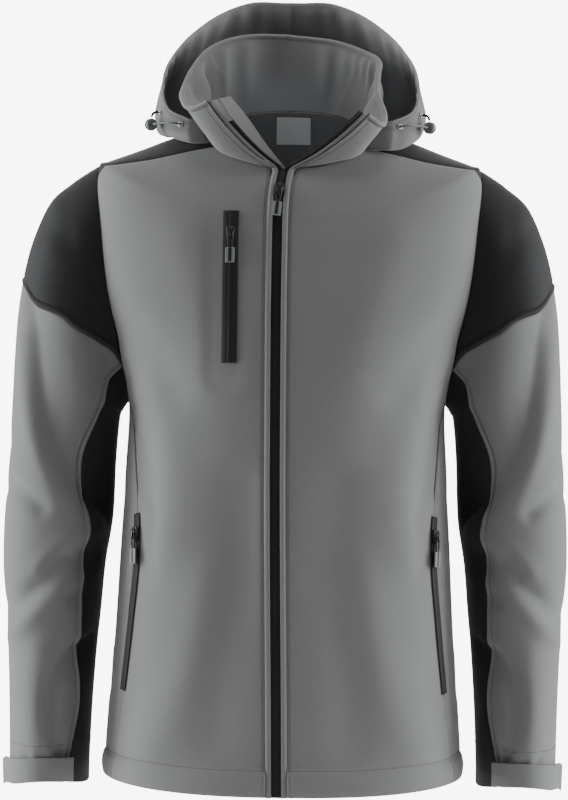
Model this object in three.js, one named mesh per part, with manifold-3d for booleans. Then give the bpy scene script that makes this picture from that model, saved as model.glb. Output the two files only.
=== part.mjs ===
// Hooded softshell jacket, filled out as on a wearer, arms hanging down.
// Millimetres, +Z up, the front faces -Y. The origin lies between the shoulders at the base of the neck.
// Left and right are those of someone looking at the front: left is -X.
import * as THREE from 'three';
import { mergeVertices } from 'three/addons/utils/BufferGeometryUtils.js';
import Module from 'manifold-3d';

// Driving dimensions
const CLOTH = 2;
const COLLAR_CLOTH = 3;
const SEAM_GAP = 0.15;
const TAPE_HALF = 4.7;
const TAPE_CLOTH = 1.2;
const TAPE_SINK = 0.6;
const WELT_INNER = 5.3;
const WELT_OUTER = 11;
const WELT_CLOTH = 3;
const WELT_RISE = 1.4;
const FRONT_START = 11.3;
const FRONT_START_NECK = 14;
const ARMHOLE_FRONT = 62;
const ARMHOLE_BACK = 70;
const ARMHOLE_INSET = 0.4;
const ARMHOLE_MIDDLE = 1.5;
const ARMHOLE_HALF = 0.5;
const ARMHOLE_HEIGHT = 260;
const SLEEVE_START = 0.3;

// Angles round the armhole, in degrees from the shoulder point to the underarm point
const ARM_ANGLES = [0, 15, 30, 48, 65, 82, 100, 118, 137, 158.5, 180];
const YOKE_CORNER = 2;
const UNDER_CORNER = 8;
const SIDE_CORNER = 9;

// Colours and surfaces
const GREY = { color: 0x7d7d7b, roughness: 0.85, metalness: 0 };
const BLACK = { color: 0x1d1e20, roughness: 0.85, metalness: 0 };
const TAPE = { color: 0x141415, roughness: 0.7, metalness: 0 };
const SLIDER = { color: 0x1b1b1c, roughness: 0.4, metalness: 0.3 };
const PULL = { color: 0x6f7172, roughness: 0.4, metalness: 0.2 };
const METAL = { color: 0xb9bcc0, roughness: 0.3, metalness: 1 };
const CORD = { color: 0x6d6f70, roughness: 0.8, metalness: 0 };
const LABEL = { color: 0xa9abb4, roughness: 0.7, metalness: 0 };

// Body rings from the hem (step 0) past the underarm (1) and shoulder (2) to the neck seam (3).
// zFront, zSide and zBack are heights, wide is the half width, front and back are depths from the
// side line, square is the roundness of the outline and drop is how soon a ring falls towards the front.
const BODY = table('step zFront zSide zBack wide front back square drop', [
  [0.0, -699, -692, -694, 194, 138, 104, 2.5, 2.0],
  [0.1, -668, -662, -664, 192.5, 138, 102, 2.5, 2.0],
  [0.3, -602, -600, -600, 188.5, 137, 97, 2.5, 2.0],
  [0.5, -522, -522, -522, 184, 135, 90, 2.5, 2.0],
  [0.7, -440, -440, -440, 180, 132, 85, 2.5, 2.0],
  [0.85, -367, -365, -365, 176, 130, 92, 2.45, 2.0],
  [1.0, -296, -290, -290, 173.5, 131, 102, 2.4, 2.0],
  [1.2, -240, -236, -228, 189, 132, 110, 2.4, 2.0],
  [1.5, -178, -158, -150, 212, 129, 112, 2.4, 2.0],
  [1.8, -124, -74, -78, 217, 122, 106, 2.4, 2.0],
  [2.0, -94, -31, -38, 208.5, 115, 98, 2.4, 2.0],
  [2.06, -89, -27.6, -32, 200, 113.5, 97, 2.4, 2.0],
  [2.3, -73, -15, -10, 166, 108, 92, 2.4, 1.8],
  [2.6, -57, 0, 15, 128, 101, 85, 2.4, 1.6],
  [3.0, -41, 12, 40, 89, 93, 72, 2.4, 1.4],
]);

// Centre of the zip, and the depths at which the front and back side seams run
const SEAMS = table('step zip sideFront sideBack', [
  [0.0, -6.5, 66, 52],
  [0.3, -8, 74, 50],
  [0.5, -9.5, 79, 48],
  [0.7, -11, 80.5, 46],
  [0.85, -12, 66, 42],
  [0.96, -12.4, 46, 32],
  [1.0, -12.5, 32, 28],
  [1.035, -12.6, 22.7, 25.7],
  [1.5, -13, 22.7, 25.7],
  [2.3, -11.5, 22.7, 25.7],
  [3.0, -6.5, 22.7, 25.7],
]);
const YOKE_NECK_FRONT = 60;
const YOKE_CURVE = 5;
const YOKE_GAP = 3.4;
const YOKE_NECK_BACK = 46;

// Sleeve rings from the armhole (row 0, taken from the body) to the cuff, each given by its outermost
// and innermost points, its depths to the front and back, and how far its middle bows outwards.
const SLEEVE = table('row xOut zOut xIn zIn front back bow under', [
  [1, 234.5, -48, 175.2, -291.2, 66, 74, 11, 43],
  [2, 260, -70, 175.6, -291.8, 69, 77, 9, 43],
  [3, 277, -105, 176.2, -292.6, 71, 78, 7, 43],
  [4, 288, -143, 177, -293.8, 72, 79, 5, 43],
  [5, 295.5, -190, 178.2, -295.6, 73, 79, 3, 43],
  [6, 299, -245, 180.2, -299, 73, 78, 1, 43],
  [7, 301.5, -305, 183.5, -308, 72, 76, 0, 47],
  [8, 304, -360, 187, -352, 70, 72, 0, 60],
  [9, 308, -418, 189.5, -415, 70, 68, 0, 52],
  [10, 308.5, -470, 197, -465, 70, 60, 0, 46],
  [11, 304, -520, 201.5, -517, 70, 54, 0, 48],
  [12, 302, -560, 205.5, -558, 70, 48, 0, 43],
  [13, 300, -620, 209.5, -617, 71, 40, 0, 37],
  [14, 299, -678, 212, -675, 70, 36, -5, 46],
  [15, 298, -708, 212.5, -705, 69, 36, -9, 46],
]);
const SLEEVE_SQUARE = 2.2;
const LAST_ROW = 15;

// Where the slanting seam between the black sleeve top and the grey sleeve crosses the sleeve rings
const CAP_SEAM = table('angle row', [
  [0, 4.4],
  [30, 4.4],
  [60, 4.3],
  [90, 3.25],
  [105, 2.25],
  [118, 0.8],
  [137, 0],
]);
const CAP_END = 132;

// Top edge of the open collar, by the angle round the neck from the centre front.
// bulge is how far the cloth swells outwards half way up, sag how far it slumps there.
const COLLAR_LEFT = table('angle x y z bulge sag', [
  [2, -84, -100, 32, 3, 6],
  [26, -108, -84, 24, 5, 9],
  [48, -120, -54, 38, -4, 0],
  [66, -119, -25, 54, -3, -3],
  [85, -111, 6, 79, 0, 0],
  [108, -95, 36, 105, 4, 0],
  [132, -72, 62, 121, 3, 0],
  [156, -42, 80, 129, 2, 0],
  [180, -4, 87, 130, 2, 0],
]);
const COLLAR_RIGHT = table('angle x y z bulge sag', [
  [2, 79, -103, 20, 3, 6],
  [26, 99, -86, 9, 5, 7],
  [48, 104, -60, 22, -3, 0],
  [66, 97, -35, 48, -2, -2],
  [85, 97, -8, 72, 1, 0],
  [108, 99, 22, 93, 4, 0],
  [132, 86, 46, 106, 3, 0],
  [156, 50, 73, 122, 2, 0],
  [180, -4, 87, 130, 2, 0],
]);

// Hood profiles from the centre (0) to the front end (8): the opening edge, the outermost point and
// the lowest point of the pouch. It then runs in to the neck seam at the neck angle, from the front.
const HOOD = table('row rim out low neck', [
  [0, [0, 102, 170], [0, 188, 108], [0, 150, 14], 179.6],
  [1, [40, 99, 167], [50, 184, 104], [45, 148, 10], 160],
  [2, [76, 89, 151], [95, 160, 90], [86, 132, 2], 140],
  [3, [108, 69, 125], [126, 116, 72], [114, 100, 6], 122],
  [4, [127, 42, 101], [144, 66, 50], [128, 62, 12], 108],
  [5, [138, 10, 78], [148.5, 20, 30], [136, 24, 10], 94],
  [6, [140, -20, 52], [147.5, -14, 20], [135, -12, 5], 82],
  [7, [132, -43, 28], [135, -44, 11], [123, -38, 2], 73],
  [8, [109, -58, 15], [110, -60, 6], [104, -54, -1], 66],
]);
const EDGE_ANGLE = 2;
const COLLAR_PLAIN = 0.9;
const COLLAR_START = 6.3;
const HOOD_NECK_OUT = 2.6;
const HOOD_NECK_RISE = 4;

// Free edge of the inner wind flap in the open neck, by the height along the collar's left front edge
const WIND_FLAP = table('row free', [
  [0, [-1, -89, -44]],
  [0.25, [-13, -87, -30]],
  [0.5, [-28, -87, -11]],
  [0.75, [-45, -86, 13]],
  [1, [-64, -84, 36]],
]);
const FLAP_SEWN = -1.5;
const FLAP_GAP = 0.5;
const FLAP_CLOTH = 1.5;

// Zip hardware
const SLIDER_WIDTH = 9.4;
const SLIDER_HEIGHT = 15;
const SLIDER_DEPTH = 3;
const SLIDER_CLEAR = 0.3;
const PIN_HALF = 0.8;
const PIN_ROOM = 0.5;
const ARCH_HALF = 4.8;
const ARCH_WIDTH = 2;
const ARCH_CLOTH = 1.1;
const PULL_WIDTH = 9.6;
const PULL_LENGTH = 33;
const PULL_EYE = 3.2;

// Steps on the body or side seam where the pockets start and end
const CHEST_POCKET = { x: -61, topStep: 2.02, endStep: 1.165, half: 8.2, sliderStep: 1.85, lift: 0.4 };
const HAND_POCKET = { topStep: 0.765, endStep: 0.31, half: 3.4, sliderStep: 0.722, lift: 0.4 };
const FRONT_SLIDER_STEP = 2.43;

const LABEL_BOX = { x: 4, width: 39, topStep: 2.93, endStep: 2.48, cloth: 1, gap: 1.5 };

// Cuff tabs round the sleeve; past the flat share of its length the tab's end flares away from the cuff
const TAB = {
  startAngle: 132, endAngle: -14, topRow: 14.0, endRow: 14.96, cloth: 2.2, lift: 1, flare: 9, droop: 8, flat: 0.75,
};

// Hood drawcords: two eyelets on each side, the cord from the front eyelet to its end past the toggle,
// the ends of the toggle's barrel, and the strap that ties it to the side eyelet. Points of the right side.
const CORD_DIAMETER = 2.4;
const TOGGLE_RADIUS = 6.6;
const TOGGLE_ROOM = 0.35;
const TOGGLE_CUT = 1.5;
const EYELET_RADIUS = 3.2;
const EYELET_HOLE = 1.6;
const EYELET_DEPTH = 1;
const EYELET_CUT = 0.3;
const EYELET_LIFT = 0.5;
const HOOD_EYELETS = [
  { part: 'front', row: 7.72, v: 0.3 },
  { part: 'side', row: 6.55, v: 0.2 },
];
const HOOD_CORD = [
  [117.9, -56.5, 8.9], [119.4, -59.6, 8.9], [122.6, -62.6, 9.2], [127.5, -62.6, 9.6], [134, -58.5, 10],
  [141, -51.5, 10.2], [147.5, -43, 10.3], [153, -34.5, 10.4], [157.5, -27.5, 10.4],
];
const TOGGLE = [[148.9, -40.9, 10.3], [153.5, -33.7, 10.4]];
const TETHER = [[143.2, -33.8, 24.7], [146.3, -35.4, 24.2], [149.2, -37.6, 22], [150.3, -38.9, 18.4]];
const TETHER_WIDTH = 2.6;
const TETHER_CLOTH = 1;

const rad = THREE.MathUtils.degToRad;

// Rows of values under the names of their columns
function table(columns, rows) {
  const names = columns.split(' ');
  return rows.map((values) => Object.fromEntries(names.map((name, i) => [name, values[i]])));
}

// Values between the rows of a table, along a smooth curve through them
function between(table, key, column, at) {
  const last = table.length - 1;
  const x = Math.min(Math.max(at, table[0][key]), table[last][key]);
  let i = 0;
  while (i < last - 1 && x > table[i + 1][key]) i += 1;
  const slope = (k) => {
    const before = Math.max(k - 1, 0);
    const after = Math.min(k + 1, last);
    return (table[after][column] - table[before][column]) / (table[after][key] - table[before][key]);
  };
  const span = table[i + 1][key] - table[i][key];
  const f = (x - table[i][key]) / span;
  const start = table[i][column];
  const end = table[i + 1][column];
  const f2 = f * f;
  const f3 = f2 * f;
  return start * (2 * f3 - 3 * f2 + 1) + end * (3 * f2 - 2 * f3)
    + span * (slope(i) * (f3 - 2 * f2 + f) + slope(i + 1) * (f3 - f2));
}

function betweenPoints(table, column, at) {
  const flat = [0, 1, 2].map((k) => table.map((row) => ({ row: row.row, value: row[column][k] })));
  return new THREE.Vector3(...flat.map((t) => between(t, 'row', 'value', at)));
}

function signedPower(value, power) {
  return Math.sign(value) * Math.abs(value) ** power;
}

// Point on the body: side is -1 or 1, turn is the angle from the side (0) to front (-90) or back (90)
function bodyPoint(side, step, turn) {
  const at = (column) => between(BODY, 'step', column, step);
  const c = Math.cos(rad(turn));
  const s = Math.sin(rad(turn));
  const power = 2 / at('square');
  const depth = s < 0 ? at('front') : at('back');
  const end = s < 0 ? at('zFront') : at('zBack');
  const z = at('zSide') + (end - at('zSide')) * Math.abs(s) ** at('drop');
  return new THREE.Vector3(side * at('wide') * signedPower(c, power), depth * signedPower(s, power), z);
}

function turnAtDepth(step, y) {
  const depth = between(BODY, 'step', y < 0 ? 'front' : 'back', step);
  const s = Math.min(Math.abs(y) / depth, 1) ** (between(BODY, 'step', 'square', step) / 2);
  return Math.sign(y) * THREE.MathUtils.radToDeg(Math.asin(s));
}

function turnAtWidth(step, x) {
  const c = Math.abs(x / between(BODY, 'step', 'wide', step)) ** (between(BODY, 'step', 'square', step) / 2);
  const turn = THREE.MathUtils.radToDeg(Math.acos(Math.min(c, 1)));
  return x < 0 ? turn - 180 : -turn;
}

// Armhole: an oval in body steps and depth; inset makes it smaller all round
function armholeStep(angle, inset) {
  return ARMHOLE_MIDDLE + (ARMHOLE_HALF - inset / ARMHOLE_HEIGHT) * Math.cos(rad(angle));
}

function armholeTurn(angle, front, inset) {
  const reach = (front ? -ARMHOLE_FRONT : ARMHOLE_BACK) * (1 - inset / ARMHOLE_FRONT);
  return turnAtDepth(armholeStep(angle, inset), reach * Math.sin(rad(angle)));
}

// Turn of the side seam at a step below the armhole
function sideTurn(front, step) {
  return turnAtDepth(step, (front ? -1 : 1) * between(SEAMS, 'step', front ? 'sideFront' : 'sideBack', step));
}

// Rows of a front or back panel from hem to neck: the step and the turn of its outer edge
function panelEdge(front) {
  const rows = [];
  const sideStep = armholeStep(ARM_ANGLES[SIDE_CORNER], 0);
  const sign = front ? -1 : 1;
  for (const part of [0, 0.06, 0.16, 0.28, 0.4, 0.52, 0.64, 0.76, 0.88]) {
    const step = sideStep * part;
    rows.push({ step, turn: sideTurn(front, step) });
  }
  for (let i = SIDE_CORNER; i >= YOKE_CORNER; i -= 1) {
    rows.push({ step: armholeStep(ARM_ANGLES[i], 0), turn: armholeTurn(ARM_ANGLES[i], front, 0) });
  }
  const start = rows[rows.length - 1].step;
  const startDepth = (front ? ARMHOLE_FRONT : ARMHOLE_BACK) * Math.sin(rad(ARM_ANGLES[YOKE_CORNER]));
  const neckDepth = front ? YOKE_NECK_FRONT : YOKE_NECK_BACK;
  for (const part of [0.2, 0.4, 0.6, 0.8, 1]) {
    const step = start + (3 - start) * part;
    const depth = startDepth + (neckDepth - startDepth) * (1 - (1 - part) ** YOKE_CURVE);
    rows.push({ step, turn: turnAtDepth(step, sign * depth) });
  }
  return rows;
}

// Closed wall between two grids of points of the same size
function wallGeometry(outer, inner) {
  const rows = outer.length;
  const columns = outer[0].length;
  const points = [...outer.flat(), ...inner.flat()];
  const shift = rows * columns;
  const faces = [];
  const quad = (a, b, c, d) => faces.push([a, b, c], [a, c, d]);
  const id = (i, j) => i * columns + j;
  for (let i = 0; i < rows - 1; i += 1) {
    for (let j = 0; j < columns - 1; j += 1) {
      quad(id(i, j), id(i, j + 1), id(i + 1, j + 1), id(i + 1, j));
      quad(shift + id(i, j), shift + id(i + 1, j), shift + id(i + 1, j + 1), shift + id(i, j + 1));
    }
  }
  for (let j = 0; j < columns - 1; j += 1) {
    const top = rows - 1;
    quad(id(0, j + 1), id(0, j), shift + id(0, j), shift + id(0, j + 1));
    quad(id(top, j), id(top, j + 1), shift + id(top, j + 1), shift + id(top, j));
  }
  for (let i = 0; i < rows - 1; i += 1) {
    const end = columns - 1;
    quad(id(i, 0), id(i + 1, 0), shift + id(i + 1, 0), shift + id(i, 0));
    quad(id(i + 1, end), id(i, end), shift + id(i, end), shift + id(i + 1, end));
  }
  let volume = 0;
  for (const [a, b, c] of faces) {
    volume += points[a].dot(new THREE.Vector3().crossVectors(points[b], points[c]));
  }
  const turned = volume < 0 ? faces.map(([a, b, c]) => [a, c, b]) : faces;
  const geometry = new THREE.BufferGeometry();
  const numbers = points.flatMap((point) => point.toArray());
  geometry.setAttribute('position', new THREE.Float32BufferAttribute(numbers, 3));
  geometry.setIndex(turned.flat());
  geometry.computeVertexNormals();
  return geometry;
}

// Grid of outward normals of a surface given by a function of two values from 0 to 1
function normalAt(surface, u, v, centre) {
  const e = 0.004;
  const clamp = (value) => Math.min(Math.max(value, 0), 1);
  const du = surface(clamp(u + e), v).sub(surface(clamp(u - e), v));
  const dv = surface(u, clamp(v + e)).sub(surface(u, clamp(v - e)));
  const normal = du.cross(dv).normalize();
  const away = surface(0.5, 0.5).sub(centre);
  const middleU = surface(0.5 + e, 0.5).sub(surface(0.5 - e, 0.5));
  const middleV = surface(0.5, 0.5 + e).sub(surface(0.5, 0.5 - e));
  return middleU.cross(middleV).dot(away) < 0 ? normal.negate() : normal;
}

// Wall on a surface: its outer side stands lift above the surface and it is cloth thick
function clothWall(surface, us, vs, cloth, centre, lift = 0) {
  const layer = (distance) => us.map((u) => vs.map((v) => {
    const point = surface(u, v);
    return distance ? point.addScaledVector(normalAt(surface, u, v, centre), distance) : point;
  }));
  return wallGeometry(layer(lift), layer(lift - cloth));
}

function evenly(count) {
  return Array.from({ length: count + 1 }, (_, i) => i / count);
}

const jacket = new THREE.Group();

function add(name, geometry, finish) {
  const mesh = new THREE.Mesh(geometry, new THREE.MeshStandardMaterial(finish));
  mesh.name = name;
  jacket.add(mesh);
  return mesh;
}

const BODY_CENTRE = new THREE.Vector3(0, -10, -260);
const SIDES = [
  { name: 'left', side: -1 },
  { name: 'right', side: 1 },
];

// Turn of the point a given distance from the zip's centre, on one side of it
function zipTurn(side, step, distance) {
  return turnAtWidth(step, side * between(SEAMS, 'step', 'zip', step) + distance);
}

function rowAt(rows, v) {
  const at = v * (rows.length - 1);
  const i = Math.min(Math.floor(at), rows.length - 2);
  const f = at - i;
  const mix = (key) => rows[i][key] + (rows[i + 1][key] - rows[i][key]) * f;
  return { step: mix('step'), turn: mix('turn') };
}

// Shift of a panel's edge, in degrees, that leaves the seam gap
function gapTurn(step) {
  return THREE.MathUtils.radToDeg(SEAM_GAP / between(BODY, 'step', 'wide', step)) * 1.3;
}

function addBodyPanels() {
  const frontRows = panelEdge(true);
  const backRows = panelEdge(false);
  for (const { name, side } of SIDES) {
    const front = (u, v) => {
      const { step, turn } = rowAt(frontRows, v);
      const flare = Math.max(step - 2.6, 0) / 0.4;
      const start = zipTurn(side, step, FRONT_START + (FRONT_START_NECK - FRONT_START) * flare);
      return bodyPoint(side, step, start + (turn - gapTurn(step) - start) * u);
    };
    add(`front_${name}`, clothWall(front, evenly(6), evenly(frontRows.length - 1), CLOTH, BODY_CENTRE), GREY);
    const sideCentre = new THREE.Vector3(0, 0, -500);
    const corner = frontRows[9].step;
    const panel = (u, v) => {
      const across = u * 2 - 1;
      const front0 = across < 0;
      const angle = 180 - (180 - ARM_ANGLES[SIDE_CORNER]) * Math.abs(across);
      const step = (armholeStep(angle, 0) - SEAM_GAP / 200) * v;
      const edge = sideTurn(front0, Math.min(v * corner, corner));
      return bodyPoint(side, step, (Math.abs(edge) - gapTurn(step)) * across);
    };
    const heights = frontRows.slice(0, 10).map((row) => row.step / frontRows[9].step);
    add(`side_${name}`, clothWall(panel, evenly(4), heights, CLOTH, sideCentre), GREY);
    const yoke = (u, v) => {
      const across = u * 2 - 1;
      const front0 = across < 0;
      const rows = (front0 ? frontRows : backRows).slice(16);
      const low = armholeStep(ARM_ANGLES[YOKE_CORNER] * Math.abs(across), 0) + SEAM_GAP / 200;
      const corner = rows[0].step;
      const edgeStep = corner + (3 - corner) * v;
      const step = low + (3 - low) * v;
      const seam = rowAt(rows, (edgeStep - corner) / (3 - corner));
      return bodyPoint(side, step, (Math.abs(seam.turn) - YOKE_GAP * gapTurn(step)) * across);
    };
    add(`yoke_${name}`, clothWall(yoke, evenly(4), evenly(5), CLOTH, BODY_CENTRE), BLACK);
  }
  const back = (u, v) => {
    const { step, turn } = rowAt(backRows, v);
    const start = turn + gapTurn(step);
    return bodyPoint(1, step, start + (180 - 2 * start) * u);
  };
  add('back', clothWall(back, evenly(12), evenly(backRows.length - 1), CLOTH, BODY_CENTRE), GREY);
}

// Section of the sleeve: angle 0 is its outermost point, 90 the front, 180 the underarm
function sleeveRing(row, angle, shrink) {
  const at = (column) => between(SLEEVE, 'row', column, row);
  const c = signedPower(Math.cos(rad(angle)), 2 / SLEEVE_SQUARE);
  const s = signedPower(Math.sin(rad(angle)), 2 / SLEEVE_SQUARE);
  const spanX = (at('xOut') - at('xIn')) / 2;
  const spanZ = (at('zOut') - at('zIn')) / 2;
  const half = Math.hypot(spanX, spanZ);
  const reach = (half - shrink) / half;
  const depth = (s > 0 ? at('front') : at('back')) - shrink;
  const bow = at('bow') * s * s;
  return new THREE.Vector3(
    (at('xOut') + at('xIn')) / 2 + spanX * reach * c + (spanZ / half) * bow,
    -depth * s,
    (at('zOut') + at('zIn')) / 2 + spanZ * reach * c - (spanX / half) * bow,
  );
}

function armholePoint(angle, shrink) {
  const turned = ((angle % 360) + 360) % 360;
  const front = turned < 180;
  const fold = front ? turned : 360 - turned;
  const inset = ARMHOLE_INSET + shrink;
  const point = bodyPoint(1, armholeStep(fold, inset), armholeTurn(fold, front, inset));
  point.x += SLEEVE_START;
  return point;
}

// Sleeve surface: the armhole itself, then a smooth curve through the rings
function sleevePoint(side, row, angle, shrink) {
  let point;
  if (row >= 1) {
    point = sleeveRing(row, angle, shrink);
  } else {
    const start = armholePoint(angle, shrink);
    const end = sleeveRing(1, angle, shrink);
    const slope = sleeveRing(2, angle, shrink).sub(start).multiplyScalar(0.5);
    const first = end.clone().sub(start).multiplyScalar(2).sub(slope);
    const f2 = row * row;
    const f3 = f2 * row;
    point = start.multiplyScalar(2 * f3 - 3 * f2 + 1)
      .addScaledVector(end, 3 * f2 - 2 * f3)
      .addScaledVector(first, (f3 - 2 * f2 + row) * 0.5)
      .addScaledVector(slope, f3 - f2);
  }
  point.x *= side;
  return point;
}

function sleeveWall(side, columns, rowsOf, cloth) {
  const layer = (shrink) => columns.map((column) => rowsOf(column).map(({ row, angle }) => (
    sleevePoint(side, row, angle, shrink))));
  return wallGeometry(layer(0), layer(cloth));
}

function capRow(angle) {
  return between(CAP_SEAM, 'angle', 'row', Math.abs(angle));
}

function addSleeves() {
  const capAngles = ARM_ANGLES.slice(1, UNDER_CORNER).map((a) => -a).reverse();
  capAngles.push(...ARM_ANGLES.slice(0, UNDER_CORNER));
  const grey = [-ARM_ANGLES[UNDER_CORNER], ...capAngles, ARM_ANGLES[UNDER_CORNER]];
  const lower = [5.2, 6, 7, 8, 9, 10, 11, 12, 13, 14, LAST_ROW];
  const rowGap = 0.009;
  const angleGap = 0.15;
  for (const { name, side } of SIDES) {
    const capRows = (angle) => evenly(4).map((f) => ({ row: (capRow(angle) - rowGap) * f, angle }));
    add(`cap_${name}`, sleeveWall(side, [-CAP_END, ...capAngles, CAP_END], capRows, CLOTH), BLACK);
    const edgeAngle = (row) => 180 - between(SLEEVE, 'row', 'under', Math.max(row, 1));
    const greyRows = (angle) => {
      const inCap = Math.abs(angle) < ARM_ANGLES[UNDER_CORNER];
      const top = inCap ? capRow(angle) + rowGap : 0;
      const rows = [0, 0.5, 1].map((f) => top + (lower[0] - top) * f).concat(lower.slice(1));
      const gap = inCap ? 0 : Math.sign(angle) * angleGap;
      return rows.map((row) => ({ row, angle: (angle * edgeAngle(row)) / ARM_ANGLES[UNDER_CORNER] - gap }));
    };
    add(`sleeve_${name}`, sleeveWall(side, grey, greyRows, CLOTH), GREY);
    const underRows = (part) => [0, 2.6].concat(lower).map((row) => ({
      row,
      angle: 180 + part * (180 - edgeAngle(row) - angleGap),
    }));
    add(`under_sleeve_${name}`, sleeveWall(side, [-1, -0.5, 0, 0.5, 1], underRows, CLOTH), BLACK);
  }
}

function addCuffTabs() {
  for (const { name, side } of SIDES) {
    const columns = evenly(10).map((f) => TAB.startAngle + (TAB.endAngle - TAB.startAngle) * f);
    const layer = (out) => columns.map((angle) => {
      const f = (TAB.startAngle - angle) / (TAB.startAngle - TAB.endAngle);
      const bend = Math.max(f - TAB.flat, 0) / (1 - TAB.flat);
      const rise = out + TAB.flare * bend * bend;
      return [TAB.topRow, TAB.endRow].map((row) => {
        const point = sleevePoint(side, row, angle, -rise);
        point.z -= TAB.droop * bend * bend;
        return point;
      });
    });
    add(`cuff_tab_${name}`, wallGeometry(layer(TAB.lift + TAB.cloth), layer(TAB.lift)), GREY);
  }
}

// Neck seam point by the angle from the centre front, raised a little above the panels' edges
function neckPoint(side, angle, out, rise) {
  const turn = angle - 90;
  const point = bodyPoint(side, 3, turn);
  const away = new THREE.Vector3(point.x, point.y, 0).normalize();
  return point.addScaledVector(away, out).add(new THREE.Vector3(0, 0, rise));
}

function collarPoint(side, angle, v) {
  const table = side < 0 ? COLLAR_LEFT : COLLAR_RIGHT;
  const at = (column) => between(table, 'angle', column, angle);
  const base = neckPoint(side, angle, 0, 0.6);
  base.x += Math.max(1 - (angle - EDGE_ANGLE) / 30, 0) * between(SEAMS, 'step', 'zip', 3);
  const rim = new THREE.Vector3(at('x'), at('y'), at('z'));
  const away = new THREE.Vector3(rim.x, rim.y, 0).normalize();
  const middle = base.clone().add(rim).multiplyScalar(0.5).addScaledVector(away, 2 * at('bulge'));
  middle.z -= 2 * at('sag');
  return base.multiplyScalar((1 - v) * (1 - v))
    .addScaledVector(middle, 2 * v * (1 - v))
    .addScaledVector(rim, v * v);
}

// Point beside the collar's front edge, a distance along the cloth from it
function edgePoint(side, v, distance) {
  const edge = collarPoint(side, EDGE_ANGLE, v);
  const along = collarPoint(side, EDGE_ANGLE + 2, v).sub(edge).normalize();
  return edge.addScaledVector(along, distance);
}

function addCollar() {
  const centre = new THREE.Vector3(0, 0, 60);
  const collar = (u, v) => {
    const around = u * 2 - 1;
    const side = around < 0 ? -1 : 1;
    const angle = 180 - Math.abs(around) * (180 - EDGE_ANGLE);
    const point = collarPoint(side, angle, v);
    const near = Math.max((Math.abs(around) - COLLAR_PLAIN) / (1 - COLLAR_PLAIN), 0);
    return near > 0 ? point.lerp(edgePoint(side, v, COLLAR_START), near * near) : point;
  };
  const layer = (distance) => evenly(32).map((u) => evenly(5).map((v) => (
    collar(u, v).addScaledVector(normalAt(collar, u, v, centre), -distance))));
  add('collar', wallGeometry(layer(0), layer(COLLAR_CLOTH)), GREY);
}

// Direction out of the collar at its front edge
function edgeNormal(side, v) {
  const up = edgePoint(side, Math.min(v + 0.05, 1), 0).sub(edgePoint(side, Math.max(v - 0.05, 0), 0));
  const beside = edgePoint(side, v, 4).sub(edgePoint(side, v, 0));
  const out = up.cross(beside).normalize();
  return out.y > 0 ? out.negate() : out;
}

function addWindFlap() {
  const depth = TAPE_SINK + TAPE_CLOTH + FLAP_GAP;
  const flap = (u, v) => {
    const height = 0.04 + 0.93 * v;
    const sewn = edgePoint(-1, height, FLAP_SEWN).addScaledVector(edgeNormal(-1, height), -depth);
    return sewn.lerp(betweenPoints(WIND_FLAP, 'free', v), u);
  };
  add('wind_flap', clothWall(flap, evenly(2), evenly(6), FLAP_CLOTH, new THREE.Vector3(-30, 0, -10)), GREY);
}

// Hood profile: opening edge, outermost point, lowest point, neck seam
function hoodPoint(side, row, v) {
  const seam = neckPoint(1, between(HOOD, 'row', 'neck', row), HOOD_NECK_OUT, HOOD_NECK_RISE);
  const profile = [
    { row: 0, point: betweenPoints(HOOD, 'rim', row).toArray() },
    { row: 0.36, point: betweenPoints(HOOD, 'out', row).toArray() },
    { row: 0.74, point: betweenPoints(HOOD, 'low', row).toArray() },
    { row: 1, point: seam.toArray() },
  ];
  const point = betweenPoints(profile, 'point', v);
  point.x *= side;
  return point;
}

function addHood() {
  const centreGap = 0.35;
  for (const { name, side } of SIDES) {
    const hood = (u, v) => {
      const point = hoodPoint(side, u * (HOOD.length - 1), v);
      point.x += side * centreGap * (1 - u);
      return point;
    };
    add(`hood_${name}`, clothWall(hood, evenly(12), evenly(8), CLOTH, new THREE.Vector3(0, 40, 60)), GREY);
  }
}

// Strips of the main zip: up the body front, and on along the collar's edge
function zipStrip(side, from, to, outer, cloth, overCollar) {
  const steps = panelEdge(true).map((row) => row.step);
  const across = [from, to];
  const point = (step, distance) => bodyPoint(side, step, zipTurn(side, step, distance));
  const normal = (step, distance) => {
    const e = 0.02;
    const up = point(Math.min(step + e, 3), distance).sub(point(Math.max(step - e, 0), distance));
    const beside = point(step, distance + 1).sub(point(step, distance - 1));
    const out = up.cross(beside).normalize();
    return out.y > 0 ? out.negate() : out;
  };
  const layer = (lift) => steps.slice(0, -1).concat([2.95]).map((step) => across.map((d) => (
    point(step, d).addScaledVector(normal(step, d), lift))));
  if (!overCollar) return wallGeometry(layer(outer), layer(outer - cloth));
  const collarRows = [0.03, 0.14, 0.3, 0.5, 0.7, 0.85, 0.97];
  const onCollar = (lift) => collarRows.map((v) => across.map((d) => (
    edgePoint(side, v, d - WELT_INNER).addScaledVector(edgeNormal(side, v), lift))));
  const whole = (lift) => layer(lift).concat(onCollar(lift));
  return wallGeometry(whole(outer), whole(outer - cloth));
}

function addMainZip() {
  for (const { name, side } of SIDES) {
    add(`zip_tape_${name}`, zipStrip(side, 0.2, TAPE_HALF, -TAPE_SINK, TAPE_CLOTH, true), TAPE);
    add(`zip_welt_${name}`, zipStrip(side, WELT_INNER, WELT_OUTER, WELT_RISE, WELT_CLOTH, true), GREY);
  }
}

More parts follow.
